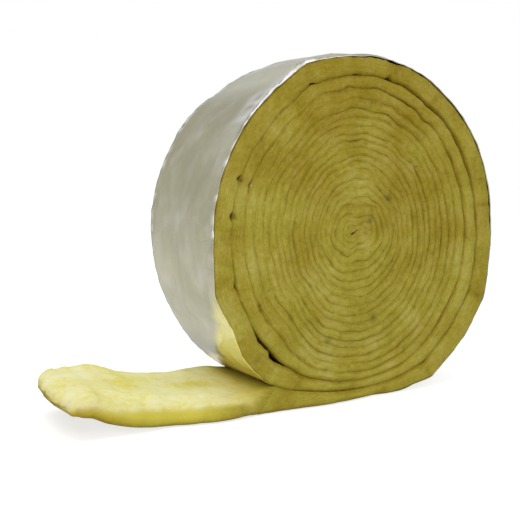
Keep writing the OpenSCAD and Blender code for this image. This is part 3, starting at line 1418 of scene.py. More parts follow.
    def end_points(self, side: Side, flat: np.ndarray, back: np.ndarray, winding: np.ndarray) -> np.ndarray:
        """Place a cut edge's points on one end of the roll.

        Args:
            side: Which end.
            flat: Their x and z.
            back: How far each is set back by the edge's rounding.
            winding: The winding angle of each ring.

        Returns:
            Their places.
        """
        seed = side.pick(self.near_seed, self.far_seed)
        stand = self.stand_off.at(winding, seed)
        stand = stand * smooth_step(winding, *self.stand_from)
        stand = stand * (0.5 + 0.5 * smooth_step(winding, *self.stand_in_full))
        offset = (stand - self.squeezed.at(winding))[:, None]
        radius = np.hypot(flat[..., 0], flat[..., 1] - self.sizes.axis_z)
        run = np.repeat(run_along(flat[:, 1])[:, None], radius.shape[1], axis=1)
        lay = np.stack([run, self.lay_ratio * radius, np.zeros_like(run)], axis=-1)
        depth = back + offset + wandering(self.edge_roughness, lay, seed)
        if side is Side.NEAR:
            depth = depth + self.clot_depth * self.clots(flat)
        return np.stack([flat[..., 0], side.value * (self.sizes.half_w - depth), flat[..., 1]], axis=-1)

    def clots(self, flat: np.ndarray) -> np.ndarray:
        """Give how far each point lies in a dark spot: a stain, a hole with painted shade or a slit with
        painted shade.

        Args:
            flat: The points' x and z.

        Returns:
            The depth, from 0 to 1.
        """
        mask = np.zeros(flat.shape[:-1])
        for spot in self.spots:
            off = np.hypot(flat[..., 0] - spot.x, flat[..., 1] - spot.z)
            mask = np.maximum(mask, spot.strength * hump(off, 0.0, spot.radius))
        return mask

    def marks_for(self, rings: np.ndarray, valley: np.ndarray) -> Marks:
        """Mark cut edges with painted light at their foot, painted shade in crevices, dark stains and specks
        with painted shade in holes and inside the rim, and browning.

        Args:
            rings: The rings' points.
            valley: How deep each point lies in a crevice's painted shade, from 0 to 1, and above 1 where the
                painted shadow line inside the rim lies.

        Returns:
            The marks by name.
        """
        shape = rings.shape[:2]
        flat = rings * np.array([1.0, 0.0, 1.0])
        pores = self.pore_dark * smooth_step(self.pores.at(flat), *self.pore_span)
        # Dark stains and specks, with painted shade in the holes and the slit.
        clot = np.where(rings[..., 1] < 0.0, np.maximum(self.clots(rings[..., [0, 2]]), pores), pores)
        # The painted shadow line inside the rim is laid in darker still.
        clot = np.maximum(clot, np.clip(valley - 1.0, 0.0, self.darkest_dirt))
        fade = smooth_step(self.fades.at(flat), *self.fade_span)
        across = rings[..., 0] / self.sizes.roll_r
        up = (rings[..., 2] - self.sizes.axis_z) / self.sizes.roll_r
        outer = smooth_step(np.hypot(across, up), *self.outer_span)
        # Browner towards the top and towards the side away from the loose end, in blotches, and on the outer
        # turn.
        aged = self.age_mean + self.age_up * up + self.age_across * across + self.blotches.at(flat)
        aged = np.maximum(aged, outer * (self.outer_age + self.outer_blotches.at(flat)))
        return {
            # Painted light: the cut edges turn paler low down on the end, towards the floor.
            "cut_edge": 1.0 - self.foot_fluff * smooth_step(up, *self.foot_span),
            "bloom": np.zeros(shape),
            # Painted shade in the crevices, faded in patches.
            "crevice": np.clip(valley, 0.0, 1.0) * (0.5 + 0.5 * fade),
            "clot": clot,
            "aged": np.clip(aged, 0.0, 1.0),
        }

    def loose_sides(
        self, side: Side, tall: np.ndarray, settled: np.ndarray
    ) -> tuple[np.ndarray, np.ndarray]:
        """Shape one side of the loose end, from the floor up to its open face.

        Args:
            side: Which side.
            tall: The blanket's thickness at each ring.
            settled: How far each ring has taken on the wound part's shape.

        Returns:
            How far in each point lies, and its height over the foil.
        """
        high = np.minimum(side.pick(self.near_top_h, self.far_top_h), self.top_share * tall)
        high = high * (1 - settled) + np.minimum(self.settled_edge, self.settled_share * tall) * settled
        wide = side.pick(self.near_top_w, self.far_top_w) * (1 - settled) + self.settled_edge * settled
        low = np.minimum(self.loose_end.low_r(side), self.low_share * tall)[:, None]
        bottom = np.radians(np.array(self.low_angles))
        top = np.radians(np.linspace(0.0, 90.0, self.top_points))
        inset = np.concatenate([low * (1 - np.sin(bottom)), wide[:, None] * (1 - np.cos(top))], axis=1)
        lower = low * (1 - np.cos(bottom))
        upper = (tall - high)[:, None] + high[:, None] * np.sin(top)
        return inset, np.concatenate([lower, upper], axis=1)

    def loose_rings(self) -> tuple[np.ndarray, np.ndarray, dict[str, np.ndarray]]:
        """Make the rings of the loose end, from its tip to the nip.

        Returns:
            The rings, the distance of each along the blanket, and their marks.
        """
        share = np.linspace(0.0, 1.0, self.loose_rings_n) ** self.ring_spacing
        settled = smooth_step(share, *self.settled_span)
        lines, ys, heights = [], [], []
        for side in Side:
            low, high = self.loose_end.nip(side)
            low_x = self.sizes.tip_x + (low[0] - self.sizes.tip_x) * share
            high_x = self.sizes.tip_x + (high[0] - self.sizes.tip_x) * share
            listed = side.pick(self.loose_end.near_thicknesses, self.loose_end.far_thicknesses)
            full = eased_points(listed, high_x)
            nose = self.loose_end.nose_share(high_x)
            bottom = self.loose_end.underside(side, low_x) + self.sizes.foil_t
            bottom = bottom + self.loose_end.nose_lift * full * (1 - nose)
            at_nip = smooth_step(share, *self.nip_span)
            tall = full * nose * (1 - at_nip) + (high[1] - bottom) * at_nip
            inset, height = self.loose_sides(side, tall, settled)
            ys.append(side.value * (self.sizes.half_w - inset - self.loose_end.edge(side, share)[:, None]))
            heights.append(height)
            lines.append(np.stack([low_x, high_x, bottom, tall]))
        across = np.linspace(0.0, 1.0, self.face_points + 2)[1:-1]
        beneath = np.linspace(0.0, 1.0, self.under_points + 2)[1:-1]
        upper = ys[0][:, -1:] + (ys[1][:, -1:] - ys[0][:, -1:]) * across
        lower = ys[1][:, :1] + (ys[0][:, :1] - ys[1][:, :1]) * beneath
        y = np.concatenate([ys[0], upper, ys[1][:, ::-1], lower], axis=1)
        blend = np.clip(0.5 + 0.5 * y / self.sizes.half_w, 0.0, 1.0)
        low_x, high_x, bottom, tall = (n[:, None] * (1 - blend) + f[:, None] * blend for n, f in zip(*lines))
        open_face = tall[:, ys[0].shape[1] : ys[0].shape[1] + self.face_points]
        up = np.concatenate([heights[0], open_face, heights[1][:, ::-1], np.zeros_like(lower)], axis=1)
        way_up = np.clip(up / tall, 0.0, 1.0)
        x = low_x + (high_x - low_x) * way_up + self.loose_end.retreat(share, y)
        rings = np.stack([x, y, bottom + up], axis=-1)
        rise = wandering(self.loose_end.lumps, rings)
        free = (1 - settled) * (0.5 + 0.5 * smooth_step(share, *self.calm_tip))
        rings[..., 2] += rise * way_up**self.lump_shape * free[:, None]
        joined = smooth_step(share, *self.join_span)[:, None, None]
        rings += (self.nip_ring(rings.shape[1]) - rings[-1]) * joined
        along = run_along(rings[:, 0])
        return rings, along - along[-1], self.loose_marks(rings, way_up, settled)

    def nip_ring(self, count: int) -> np.ndarray:
        """Give the wound part's first ring, with as many points as a ring of the loose end.

        Args:
            count: How many points that is.

        Returns:
            The ring, (count, 3).
        """
        start = np.array([self.turns.near.nip_angle - TURN])
        sides = []
        for side in Side:
            points = self.wound_end(side, start)[0][0]
            run = run_along(points)
            at = np.linspace(0.0, run[-1], (count - self.face_points - self.under_points) // 2)
            sides.append(np.stack([np.interp(at, run, points[:, axis]) for axis in range(3)], axis=1))
        across = np.linspace(0.0, 1.0, self.face_points + 2)[1:-1, None]
        beneath = np.linspace(0.0, 1.0, self.under_points + 2)[1:-1, None]
        near, far = sides
        face = near[-1] + (far[-1] - near[-1]) * across
        under = far[0] + (near[0] - far[0]) * beneath
        return np.concatenate([near, face, far[::-1], under])

    def loose_marks(self, rings: np.ndarray, way_up: np.ndarray, settled: np.ndarray) -> Marks:
        """Mark the loose end's cut edges, its pale face with painted light on it, its browning, and painted
        shade low down, under its nose and by the nip.

        Args:
            rings: Its points.
            way_up: Each point's share of the way from the foil to the open face.
            settled: How far each ring has taken on the wound part's shape.

        Returns:
            The marks by name.
        """
        x, y, z = rings[..., 0], rings[..., 1], rings[..., 2]
        inside = smooth_step(self.sizes.half_w - np.abs(y), *self.inner_face)
        tipward = smooth_step(x, *self.tip_span)
        # The pale open face: partly fluffier wool, partly painted light on the upper faces and the tops of
        # the sides.
        bloom = smooth_step(way_up, 0.54 - 0.3 * tipward, 0.78 - 0.2 * tipward) * (0.85 + 0.15 * inside)
        fluff = smooth_step(way_up, 0.0, 0.35) * smooth_step(x, *self.fluff_span)
        cut = 1.0 - np.maximum(0.75 * fluff, bloom * (1 - settled[:, None]))
        # Towards the nip, under the roll's overhang, the pale face fades to the band's colour, less so at the
        # back.
        from_nip = x - self.nip_slant * (y + self.sizes.half_w)
        kept = 0.3 * smooth_step(y, *self.kept_span)
        bloom = bloom * (kept + (1 - kept) * smooth_step(from_nip, *self.band_span))
        for patch_x, patch_y, reach in self.yellow_patches:
            off = ((x - patch_x) / reach) ** 2 + ((y - patch_y) / self.patch_width) ** 2
            bloom = bloom * (1 - self.patch_strength * np.exp(-off))
        # Painted shade: the wool browns under the roll's overhang, towards the nip.
        shaded = 0.5 * smooth_step(from_nip, *self.shade_span) * (1 - settled)[:, None]
        # Painted shade low on the loose end's sides, and under its tip's nose.
        low = smooth_step(way_up, 0.3 + 0.5 * tipward, 0.0)
        nose = smooth_step(x, *self.nose_span) * smooth_step(z, *self.nose_height)
        aged = 0.25 * settled[:, None] + shaded + (0.5 + 0.4 * tipward) * low + 0.15 * tipward + 0.6 * nose
        plain = np.zeros_like(cut)
        return {
            "cut_edge": cut,
            "bloom": bloom,
            "crevice": plain,
            "clot": plain,
            "aged": np.clip(aged, 0.0, 1.0),
        }

    def build(self) -> bpy.types.Object:
        """Build the blanket.

        Returns:
            The piece.
        """
        sweep = MeshSweep()
        for rings, along, marks in (self.loose_rings(), self.wound_rings()):
            sweep.add(rings, along, marks)
        return sweep.to_object("wool_blanket_wound")

    def dress(self, piece: bpy.types.Object) -> None:
        """Give the blanket its finish and its place in the model.

        Args:
            piece: The blanket.
        """
        piece.data.materials.append(WoolFinish().material())
        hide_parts("wool_blanket")
        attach(piece, "root")


@dataclass(frozen=True)
class FoilFacing:
    """The foil on the blanket's outer side, wound in with it."""

    sizes: RollSizes
    turns: Turns
    loose_end: LooseEnd
    step: float = 3.0 * MM
    inner_step: float = 4.5 * MM
    rim_points: int = 44
    inner_points: int = 4
    under_points: int = 14
    under_rings_n: int = 90
    under_room: float = 1 * MM
    tip_setback: float = 2.5 * MM
    lip: float = 0.7 * MM
    lip_w: float = 1.6 * MM
    lip_wander: float = 0.7 * MM
    proud_from: Span = (183.0, 203.0)
    inner_setback: float = 8.0 * MM
    inner_wander: float = 1.6 * MM
    inner_end: float = 290.0
    glint_reach: float = 1.6
    glint_out: float = 1 * MM
    under_setback: float = 6.0 * MM
    hidden_from: Span = (28.0, -12.0)
    free_from: Span = (18.0, 40.0)
    free_before_end: float = 36.0
    tucked_before_end: Span = (42.0, 26.0)
    past_nip: float = 30.0
    edge_wander: tuple[Wander, ...] = (Wander(1.0, 26 * MM, 51.0), Wander(0.6, 8 * MM, 57.0))
    # Where the lip is curled most and carries its strongest painted highlight.
    worn: Stretch = Stretch((197.0, 203.0), (234.0, 244.0))
    # Where painted glints break along the lip.
    glints: Stretch = Stretch((176.0, 190.0), (272.0, 280.0))
    edge_breaks: Ragged = Ragged(0.0, 1.0, -math.inf, math.inf, reach=3.0, seed=3.7)
    edge_kept: float = 0.6
    curls: tuple[Crease, ...] = (Crease(208.0, 5.0 * MM, 5.5), Crease(220.0, 2.0 * MM, 9.0))
    curl_kept: float = 0.35
    plain_curl: float = 0.4 * MM
    worn_curl: float = 0.5 * MM
    near_curl: float = 0.3 * MM
    lip_breaks: Ragged = Ragged(0.75, 1.2, 0.2, 1.4, reach=2.6, seed=8.3)
    jagged: Stretch = Stretch((186.0, 200.0), (272.0, 280.0), 1.8 * MM)
    jags: Ragged = Ragged(0.0, 1.0, 0.0, math.inf, reach=1.3, seed=4.9)
    sheen_at: float = 223.0
    sheen_reach: float = 11.0
    sheen_in: float = 13 * MM
    sheen_w: float = 15 * MM
    rub_patches: Wander = Wander(1.0, 30 * MM, 73.0, across=1.6)
    rub_crinkles: Wander = Wander(0.9, 9 * MM, 75.0, across=0.5)
    crowns: tuple[Crease, ...] = (Crease(194.0, 4.0 * MM, 12.0), Crease(171.0, 5.6 * MM, 12.0))
    crown_near: float = 17 * MM
    crown_far: float = 36 * MM
    waves: tuple[Wander, ...] = (
        Wander(0.9 * MM, 70 * MM, 61.0),
        Wander(0.4 * MM, 22 * MM, 64.0, across=0.45),
    )
    ridges: Wander = Wander(1.0, 34 * MM, 67.0)
    ridge_sharpness: float = 4.0
    ridge_h: float = 0.45 * MM
    gathers: Wander = Wander(0.6 * MM, 10 * MM, 70.0)
    gather_reach: float = 9 * MM
    deepest_crease: float = 0.5 * MM
    polish_patches: Wander = Wander(1.0, 60 * MM, 83.0, across=0.6)
    # How strong the painted reflection is round the rim: over its top and low down by the loose end.
    polished: Curve = (
        (168.0, 0.05), (180.0, 0.25), (192.0, 0.9), (212.0, 0.8), (228.0, 0.3), (250.0, 0.04),
        (272.0, 0.14), (288.0, 0.4), (305.0, 0.5), (330.0, 0.3),
    )
    # Where the foil by the nip turns yellow, with wool dust and a painted reflection of the loose end.
    dust_patches: Wander = Wander(12 * MM, 26 * MM, 89.0)
    dust_edge: Span = (-14 * MM, 14 * MM)
    dust_from: Span = (284.0, 296.0)
    dust_reach: Curve = (
        (286.0, -66 * MM), (297.0, -46 * MM), (306.0, -24 * MM), (312.0, 0.0), (317.0, 45 * MM),
        (322.0, 90 * MM),
    )
    soil_patches: Wander = Wander(0.9, 20 * MM, 87.0)
    soil_from: Span = (298.0, 314.0)

    def skins(self, outer: np.ndarray, inward: np.ndarray, curled: np.ndarray) -> np.ndarray:
        """Close a sheet into rings of its two skins.

        Args:
            outer: The outer skin, (n, m, 3).
            inward: Unit vectors towards the wool, (n, 3).
            curled: How much thicker a curled edge makes it at each point, (n, m).

        Returns:
            The rings, (n, 2m, 3).
        """
        inner = outer + inward[:, None, :] * (self.sizes.foil_t + curled)[..., None]
        return np.concatenate([outer, inner[:, ::-1]], axis=1)

    def sheet(self, near: np.ndarray, far: np.ndarray, ends: np.ndarray, points: int) -> np.ndarray:
        """Spread the facing between its lines on the roll's two ends.

        Args:
            near: The near end's line, x and z.
            far: The far end's line.
            ends: The y of the sheet's two edges at each point of the lines.
            points: How many points lie across the sheet.

        Returns:
            The sheet's points, (n, points, 3).
        """
        share = np.linspace(0.0, 1.0, points)
        if points == self.rim_points:
            share[[1, -2]] = self.lip_w / (2 * self.sizes.half_w), 1.0 - self.lip_w / (2 * self.sizes.half_w)
        share = share[None, :]
        y = ends[:, :1] + (ends[:, 1:] - ends[:, :1]) * share
        blend = np.clip(0.5 + 0.5 * y / self.sizes.half_w, 0.0, 1.0)
        x = near[:, :1] + (far[:, :1] - near[:, :1]) * blend
        z = near[:, 1:] + (far[:, 1:] - near[:, 1:]) * blend
        return np.stack([x, y, z], axis=-1)

    def lines(self, winding: np.ndarray) -> tuple[np.ndarray, np.ndarray]:
        """Give the facing's lines on the two ends.

        Args:
            winding: Winding angles.

        Returns:
            The near and the far line, x and z.
        """
        both = []
        for side in Side:
            path, own = self.turns.at(side), self.turns.angles(side, winding)
            both.append(path.place(own, path.boundary(own)))
        return both[0], both[1]

    @staticmethod
    def inward_of(flat: np.ndarray) -> np.ndarray:
        """Give the unit vector to the left of a line in the end view, which is the wool's side.

        Args:
            flat: The line's x and z.

        Returns:
            The vectors, (n, 3).
        """
        run = np.gradient(flat, axis=0)
        run = run / np.linalg.norm(run, axis=1, keepdims=True)
        return np.stack([-run[:, 1], np.zeros(len(run)), run[:, 0]], axis=1)

    def edges(self, flat: np.ndarray, setback: np.ndarray | float, wander: float) -> np.ndarray:
        """Give the y of the sheet's edges.

        Args:
            flat: The line's x and z.
            setback: How far the edges stop short of the wool's ends, at each point or everywhere.
            wander: How far they wander.

        Returns:
            The y of the near and far edge at each point.
        """
        solid = np.stack([flat[:, 0], np.zeros(len(flat)), flat[:, 1]], axis=1)
        ends = []
        for side in Side:
            ragged = wandering(self.edge_wander, solid, side.value)
            ends.append(side.value * (self.sizes.half_w - setback + wander * ragged))
        return np.stack(ends, axis=1)

    def add_line(
        self,
        sweep: MeshSweep,
        flat: np.ndarray,
        sheet: np.ndarray,
        marks: Marks,
        curled: np.ndarray,
        along: float,
    ) -> float:
        """Add a stretch of the facing to the sweep.

        Args:
            sweep: The mesh under way.
            flat: The stretch's line in the end view.
            sheet: Its outer skin.
            marks: Named values at each point of the skin, from 0 to 1.
            curled: How much thicker a curled edge makes it at each point.
            along: Distance along the blanket at its start.

        Returns:
            The distance at its end.
        """
        length = run_along(flat) + along
        rings = self.skins(sheet, self.inward_of(flat), curled)
        both = {name: np.concatenate([value, value[:, ::-1]], axis=1) for name, value in marks.items()}
        sweep.add(rings, length, both)
        return float(length[-1])

    def plain_marks(self, sheet: np.ndarray, bare: np.ndarray) -> Marks:
        """Mark a stretch of the facing that has no painted sheen, no painted reflection and no yellow by the
        nip.

        Args:
            sheet: Its outer skin.
            bare: How strong the painted highlight on the cut edge is along the line, from 0 to 1.

        Returns:
            The marks by name.
        """
        plain = np.zeros(sheet.shape[:2])
        edge = plain.copy()
        edge[:, [0, -1]] = bare[:, None]
        edge[:, [1, -2]] = self.edge_kept * bare[:, None]
        return {"bare_edge": edge, "rubbed": plain, "dusty": plain, "polished": plain, "soiled": plain}

    def brightness(self, winding: np.ndarray) -> np.ndarray:
        """Give how strong the painted highlight on the rim's cut edge is.

        Args:
            winding: Winding angles along the rim.

        Returns:
            The highlight's strength, from 0 to 1.
        """
        broken = self.edge_breaks.at(winding)
        glinting = self.glints.at(winding) * (1.9 * broken - 0.1)
        return np.clip(self.worn.at(winding) * (0.9 + 0.9 * broken) + glinting, 0.0, 1.0)

    def rubbing(self, winding: np.ndarray, sheet: np.ndarray) -> np.ndarray:
        """Give where the rim carries a painted sheen: crinkled by its near edge, and in faint patches.

        Args:
            winding: Winding angles along the rim.
            sheet: The rim's outer skin.

        Returns:
            How strong the painted sheen is at each point, from 0 to 1.
        """
        from_near = sheet[..., 1] + self.sizes.half_w
        patchy = self.rub_patches.at(sheet)
        along = hump(winding, self.sheen_at, self.sheen_reach)[:, None]
        sheen = along * hump(from_near, self.sheen_in, self.sheen_w)
        sheen = sheen * (1.0 + 0.9 * patchy + self.rub_crinkles.at(sheet))
        return np.clip(sheen + 0.25 * np.maximum(0.0, patchy - 0.15), 0.0, 1.0)

    def dusting(self, winding: np.ndarray, sheet: np.ndarray) -> np.ndarray:
        """Give where the foil by the nip turns yellow: partly wool dust, partly a painted reflection of the
        loose end.

        Args:
            winding: Winding angles along the rim.
            sheet: The rim's outer skin.

        Returns:
            How yellow each point is, from 0 to 1.
        """
        inside = eased_points(self.dust_reach, winding)[:, None] - sheet[..., 1] + self.dust_patches.at(sheet)
        return smooth_step(inside, *self.dust_edge) * smooth_step(winding, *self.dust_from)[:, None]

    def polish(self, winding: np.ndarray, sheet: np.ndarray) -> np.ndarray:
        """Give where the rim carries a painted reflection, brighter over its top and low down by the loose
        end.

        Args:
            winding: Winding angles along the rim.
            sheet: The rim's outer skin.

        Returns:
            How strong the painted reflection is at each point, from 0 to 1.
        """
        patchy = self.polish_patches.at(sheet)
        amount = eased_points(self.polished, winding)[:, None]
        return np.clip(amount * (1.0 + 0.5 * patchy) + 0.1 * patchy, 0.0, 1.0)

    def soiling(self, winding: np.ndarray, sheet: np.ndarray) -> np.ndarray:
        """Give where the yellow by the nip deepens, towards the wool that its dust came from: partly that
        dust, partly a painted reflection of the loose end in shade.

        Args:
            winding: Winding angles along the rim.
            sheet: The rim's outer skin.

        Returns:
            How deep the yellow is at each point, from 0 to 1.
        """
        low = smooth_step(winding, *self.soil_from)[:, None]
        return np.clip(low * (0.75 + self.soil_patches.at(sheet)), 0.0, 1.0)

    def crown(self, winding: np.ndarray, sheet: np.ndarray) -> np.ndarray:
        """Give how far the slack facing stands off between its ends, near the top of the roll.

        Args:
            winding: Winding angles along the rim.
            sheet: The rim's outer skin.

        Returns:
            How far each point stands out.
        """
        across = smooth_step(sheet[..., 1] + self.sizes.half_w, 0.0, self.crown_near)
        across = across * smooth_step(sheet[..., 1], self.sizes.half_w, self.crown_far)
        return across * sum(crown.at(winding) for crown in self.crowns)[:, None]

    def curl(self, winding: np.ndarray, sheet: np.ndarray) -> np.ndarray:
        """Give how far the facing's cut edges are curled over.

        Args:
            winding: Winding angles along the rim.
            sheet: The rim's outer skin.

        Returns:
            How far each point stands out.
        """
        broken = self.lip_breaks.at(winding)
        worn = self.worn.at(winding)
        far = (self.plain_curl + self.worn_curl * worn) * broken
        near = far + self.near_curl * worn * broken + self.jagged.at(winding) * self.jags.at(winding)
        for curl in self.curls:
            near = near + curl.at(winding) * np.minimum(broken, 1.0)
        curled = np.zeros(sheet.shape[:2])
        curled[:, 0], curled[:, -1] = near, far
        curled[:, 1], curled[:, -2] = self.curl_kept * near, self.curl_kept * far
        return curled

    def crease(self, sheet: np.ndarray, inward: np.ndarray) -> np.ndarray:
        """Wrinkle the rim.

        Args:
            sheet: The rim's outer skin.
            inward: Unit vectors towards the wool.

        Returns:
            The wrinkled skin.
        """
        ridge = 1.0 - np.abs(self.ridges.at(sheet)) * self.ridge_sharpness
        wave = wandering(self.waves, sheet) + self.ridge_h * np.maximum(0.0, ridge)
        from_edge = self.sizes.half_w - np.abs(sheet[..., 1])
        gathered = np.exp(-np.maximum(from_edge, 0.0) / self.gather_reach)
        out = np.maximum(wave + gathered * self.gathers.at(sheet), -self.deepest_crease)
        return sheet - inward[:, None, :] * out[..., None]

    def under_sheet(self) -> tuple[np.ndarray, np.ndarray]:
        """Lay the facing under the loose end.

        Returns:
            Its line at the near end, and its points.
        """
        share = np.linspace(0.0, 1.0, self.under_rings_n)
        lines, ends = [], []
        for side in Side:
            low, _ = self.loose_end.nip(side)
            x = self.sizes.tip_x + (low[0] - self.sizes.tip_x) * share
            lines.append(np.stack([x, self.loose_end.underside(side, x)], axis=1))
            inset = self.loose_end.low_r(side) + self.under_room + self.loose_end.edge(side, share)
            ends.append(side.value * (self.sizes.half_w - inset))
        sheet = self.sheet(lines[0], lines[1], np.stack(ends, axis=1), self.under_points)
        sheet[..., 0] += self.loose_end.retreat(share, sheet[..., 1])
        sheet[..., 0] += self.tip_setback * (1 - share)[:, None] ** 4
        return lines[0], sheet

    def add_rim(self, sweep: MeshSweep, rim_end: float, along: float) -> float:
        """Add the facing round the rim.

        Args:
            sweep: The mesh under way.
            rim_end: The winding angle at which the rim's facing ends, inside the nip.
            along: Distance along the blanket at its start.

        Returns:
            The distance at its end.
        """
        winding = self.turns.near.steps(self.turns.near.nip_angle - TURN, rim_end, self.step)
        line, far = self.lines(winding)
        proud = self.lip * (0.4 + 0.6 * smooth_step(winding, *self.proud_from))
        hidden = (self.under_setback + self.lip) * smooth_step(winding, *self.hidden_from)
        edges = self.edges(line, hidden - proud, self.lip_wander)
        tucked = smooth_step(rim_end - winding, *self.tucked_before_end)[:, None]
        edges = edges * (1 - tucked * (self.inner_setback + self.lip) / self.sizes.half_w)
        sheet = self.sheet(line, far, edges, self.rim_points)
        dusty = self.dusting(winding, sheet)
        # Painted highlight on the lip, painted sheen, painted reflection, and yellow by the nip from dust and
        # painted reflection.
        marks = self.plain_marks(sheet, self.brightness(winding))
        marks.update(
            rubbed=self.rubbing(winding, sheet),
            dusty=dusty,
            polished=self.polish(winding, sheet),
            soiled=dusty * self.soiling(winding, sheet),
        )
        free = smooth_step(rim_end - winding, 0.0, self.free_before_end)
        free = free * smooth_step(winding, *self.free_from)
        inward = self.inward_of(line)
        curled = self.curl(winding, sheet) * free[:, None]
        raised = curled + self.crown(winding, sheet)
        creased = (self.crease(sheet, inward) - sheet) * free[:, None, None]
        sheet = sheet + creased - inward[:, None, :] * raised[..., None]
        return self.add_line(sweep, line, sheet, marks, curled, along)

    def add_inner(self, sweep: MeshSweep, rim_end: float, along: float) -> None:
        """Add the facing between the turns, which shows its edge in one open crevice.

        Args:
            sweep: The mesh under way.
            rim_end: The winding angle at which the rim's facing ends.
            along: Distance along the blanket there.
        """
        end = TURN * (self.sizes.turns - 1) + self.inner_end
        winding = self.turns.near.steps(rim_end, end, self.inner_step)
        line, far = self.lines(winding)
        edges = self.edges(line, self.inner_setback, self.inner_wander)
        # The facing's edge stands out in one crevice, with a painted glint on it.
        glint = hump(winding - 2 * TURN, self.turns.near.glint_angle, self.glint_reach)
        edges[:, 0] += glint * (Side.NEAR.value * (self.sizes.half_w + self.glint_out) - edges[:, 0])
        sheet = self.sheet(line, far, edges, self.inner_points)
        self.add_line(sweep, line, sheet, self.plain_marks(sheet, glint), np.zeros(sheet.shape[:2]), along)

    def build(self) -> bpy.types.Object:
        """Build the facing: under the loose end, round the rim, and in between the turns.

        Returns:
            The piece.
        """
        sweep = MeshSweep()
        line, sheet = self.under_sheet()
        marks = self.plain_marks(sheet, np.zeros(len(line)))
        along = self.add_line(sweep, line, sheet, marks, np.zeros(sheet.shape[:2]), 0.0)
        rim_end = self.turns.near.nip_angle + self.past_nip
        along = self.add_rim(sweep, rim_end, along)
        self.add_inner(sweep, rim_end, along)
        return sweep.to_object("foil_facing_wound")

    def dress(self, piece: bpy.types.Object) -> None:
        """Give the facing its finish and its place in the model.

        Args:
            piece: The facing.
        """
        piece.data.materials.append(FoilFinish().material())
        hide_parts("foil_facing")
        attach(piece, "root")


@dataclass(frozen=True)
class Lamp:
    """A soft round lamp: its place, the width of its panel and its power in watts."""

    name: str
    place: tuple[float, float, float]
    size: float
    power: float


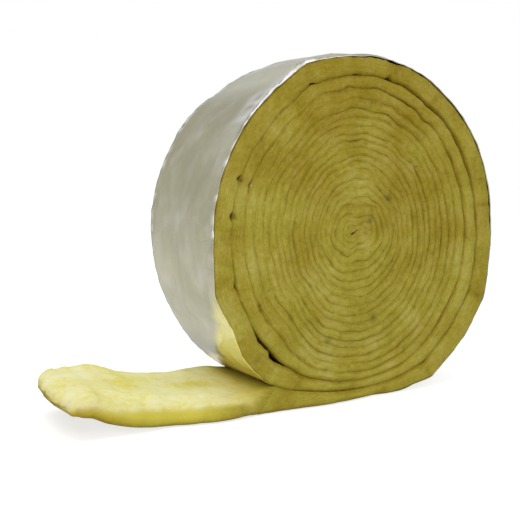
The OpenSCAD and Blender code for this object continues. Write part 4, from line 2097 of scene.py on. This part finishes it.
@dataclass(frozen=True)
class Studio:
    """A plain pale floor, soft light and the photograph's viewpoint."""

    eye: tuple[float, float, float] = (-0.6243, -0.8458, 0.2513)
    azimuth: float = -31.8
    elevation: float = 5.15
    focal_px: float = 850.0
    picture_px: float = 520.0
    sensor: float = 36.0
    clip: Span = (0.05, 60.0)
    ambient: float = 0.62
    floor_reach: float = 20.0
    floor_drop: float = 0.6 * MM
    floor_glow: float = 0.65
    floor_tone: float = 0.6
    floor_bounce: float = 0.8
    lamp_aim: tuple[float, float, float] = (-0.05, 0.0, 0.15)
    lamps: tuple[Lamp, ...] = (
        Lamp("overhead", (-0.4, 0.0, 2.2), 2.8, 18.0),
        Lamp("front", (-1.0, -2.0, 1.0), 1.5, 14.0),
        Lamp("back", (0.6, 2.0, 1.5), 0.6, 1.2),
    )

    def camera(self) -> None:
        """Place the camera."""
        a, e = math.radians(self.azimuth), math.radians(self.elevation)
        back = Vector((math.sin(a) * math.cos(e), -math.cos(a) * math.cos(e), math.sin(e)))
        data = bpy.data.cameras.new("photo_view")
        data.sensor_width = self.sensor
        data.lens = self.focal_px / self.picture_px * self.sensor
        data.clip_start, data.clip_end = self.clip
        camera = bpy.data.objects.new("photo_view", data)
        turn = back.to_track_quat("Z", "Y")
        camera.matrix_world = Matrix.Translation(self.eye) @ turn.to_matrix().to_4x4()
        bpy.context.scene.collection.objects.link(camera)
        bpy.context.scene.camera = camera

    def seen_rays(self, tree: bpy.types.NodeTree) -> bpy.types.Node:
        """Make a mask of the rays that see the backdrop.

        Args:
            tree: The node tree of the backdrop's material or the world.

        Returns:
            The node that gives the mask.
        """
        path = add_node(tree, "LightPath")
        first = add_node(tree, "Math", operation="MAXIMUM")
        second = add_node(tree, "Math", operation="MAXIMUM")
        link_nodes(
            tree,
            [
                (path, "Is Camera Ray", first, 0),
                (path, "Is Glossy Ray", first, 1),
                (first, "Value", second, 0),
                (path, "Is Transmission Ray", second, 1),
            ],
        )
        return second

    def world(self) -> None:
        """Light the scene softly from all round, before a white backdrop."""
        world = bpy.data.worlds.new("studio")
        bpy.context.scene.world = world
        world.use_nodes = True
        tree = world.node_tree
        tree.nodes.clear()
        leave = add_node(tree, "OutputWorld")
        light = add_node(tree, "Background", Color=(1.0, 1.0, 1.0, 1.0), Strength=self.ambient)
        white = add_node(tree, "Background", Color=(1.0, 1.0, 1.0, 1.0), Strength=1.0)
        mix = add_node(tree, "MixShader")
        link_nodes(
            tree,
            [
                (self.seen_rays(tree), "Value", mix, "Fac"),
                (light, "Background", mix, 1),
                (white, "Background", mix, 2),
                (mix, "Shader", leave, "Surface"),
            ],
        )

    def floor(self) -> None:
        """Lay the pale floor."""
        mesh = bpy.data.meshes.new("floor")
        reach = self.floor_reach
        corners = [(-reach, -reach, 0.0), (reach, -reach, 0.0), (reach, reach, 0.0), (-reach, reach, 0.0)]
        mesh.from_pydata(corners, [], [(0, 1, 2, 3)])
        floor = bpy.data.objects.new("floor", mesh)
        floor.location.z = -self.floor_drop
        bpy.context.scene.collection.objects.link(floor)
        material = bpy.data.materials.new("floor")
        material.use_nodes = True
        tree = material.node_tree
        tree.nodes.clear()
        leave = add_node(tree, "OutputMaterial")
        bounce, tone = self.floor_bounce, self.floor_tone
        plain = add_node(tree, "BsdfDiffuse", Color=(bounce, bounce, bounce, 1.0))
        seen = add_node(tree, "BsdfDiffuse", Color=(tone, tone, tone, 1.0))
        glow = add_node(tree, "Emission", Color=(1.0, 1.0, 1.0, 1.0), Strength=self.floor_glow)
        lit = add_node(tree, "AddShader")
        mix = add_node(tree, "MixShader")
        link_nodes(
            tree,
            [
                (seen, "BSDF", lit, 0),
                (glow, "Emission", lit, 1),
                (self.seen_rays(tree), "Value", mix, "Fac"),
                (plain, "BSDF", mix, 1),
                (lit, "Shader", mix, 2),
                (mix, "Shader", leave, "Surface"),
            ],
        )
        mesh.materials.append(material)

    def hang(self, lamp: Lamp) -> None:
        """Hang a soft lamp that faces the roll and isn't seen in the foil.

        Args:
            lamp: The lamp.
        """
        data = bpy.data.lights.new(lamp.name, "AREA")
        data.shape = "DISK"
        data.size = lamp.size
        data.energy = lamp.power
        hung = bpy.data.objects.new(lamp.name, data)
        hung.visible_glossy = False
        aim = Vector(self.lamp_aim) - Vector(lamp.place)
        turn = aim.to_track_quat("-Z", "Y").to_matrix().to_4x4()
        hung.matrix_world = Matrix.Translation(lamp.place) @ turn
        bpy.context.scene.collection.objects.link(hung)

    def build(self) -> None:
        """Set up the studio."""
        bpy.context.scene.view_settings.view_transform = "Standard"
        self.camera()
        self.world()
        self.floor()
        for lamp in self.lamps:
            self.hang(lamp)


def main() -> None:
    """Build the roll piece by piece, then the studio."""
    logging.basicConfig(level=logging.INFO, format="%(message)s")
    sizes = RollSizes.from_frame(frame["record"])
    turns = Turns.of(sizes)
    loose_end = LooseEnd(sizes, turns)
    for part in (WoolBlanket(sizes, turns, loose_end), FoilFacing(sizes, turns, loose_end)):
        piece = part.build()
        part.dress(piece)
        LOG.info("%s: %d faces", piece.name, len(piece.data.polygons))
    Studio().build()
    LOG.info("studio: floor, lamps and camera")


if __name__ == "__main__":
    main()
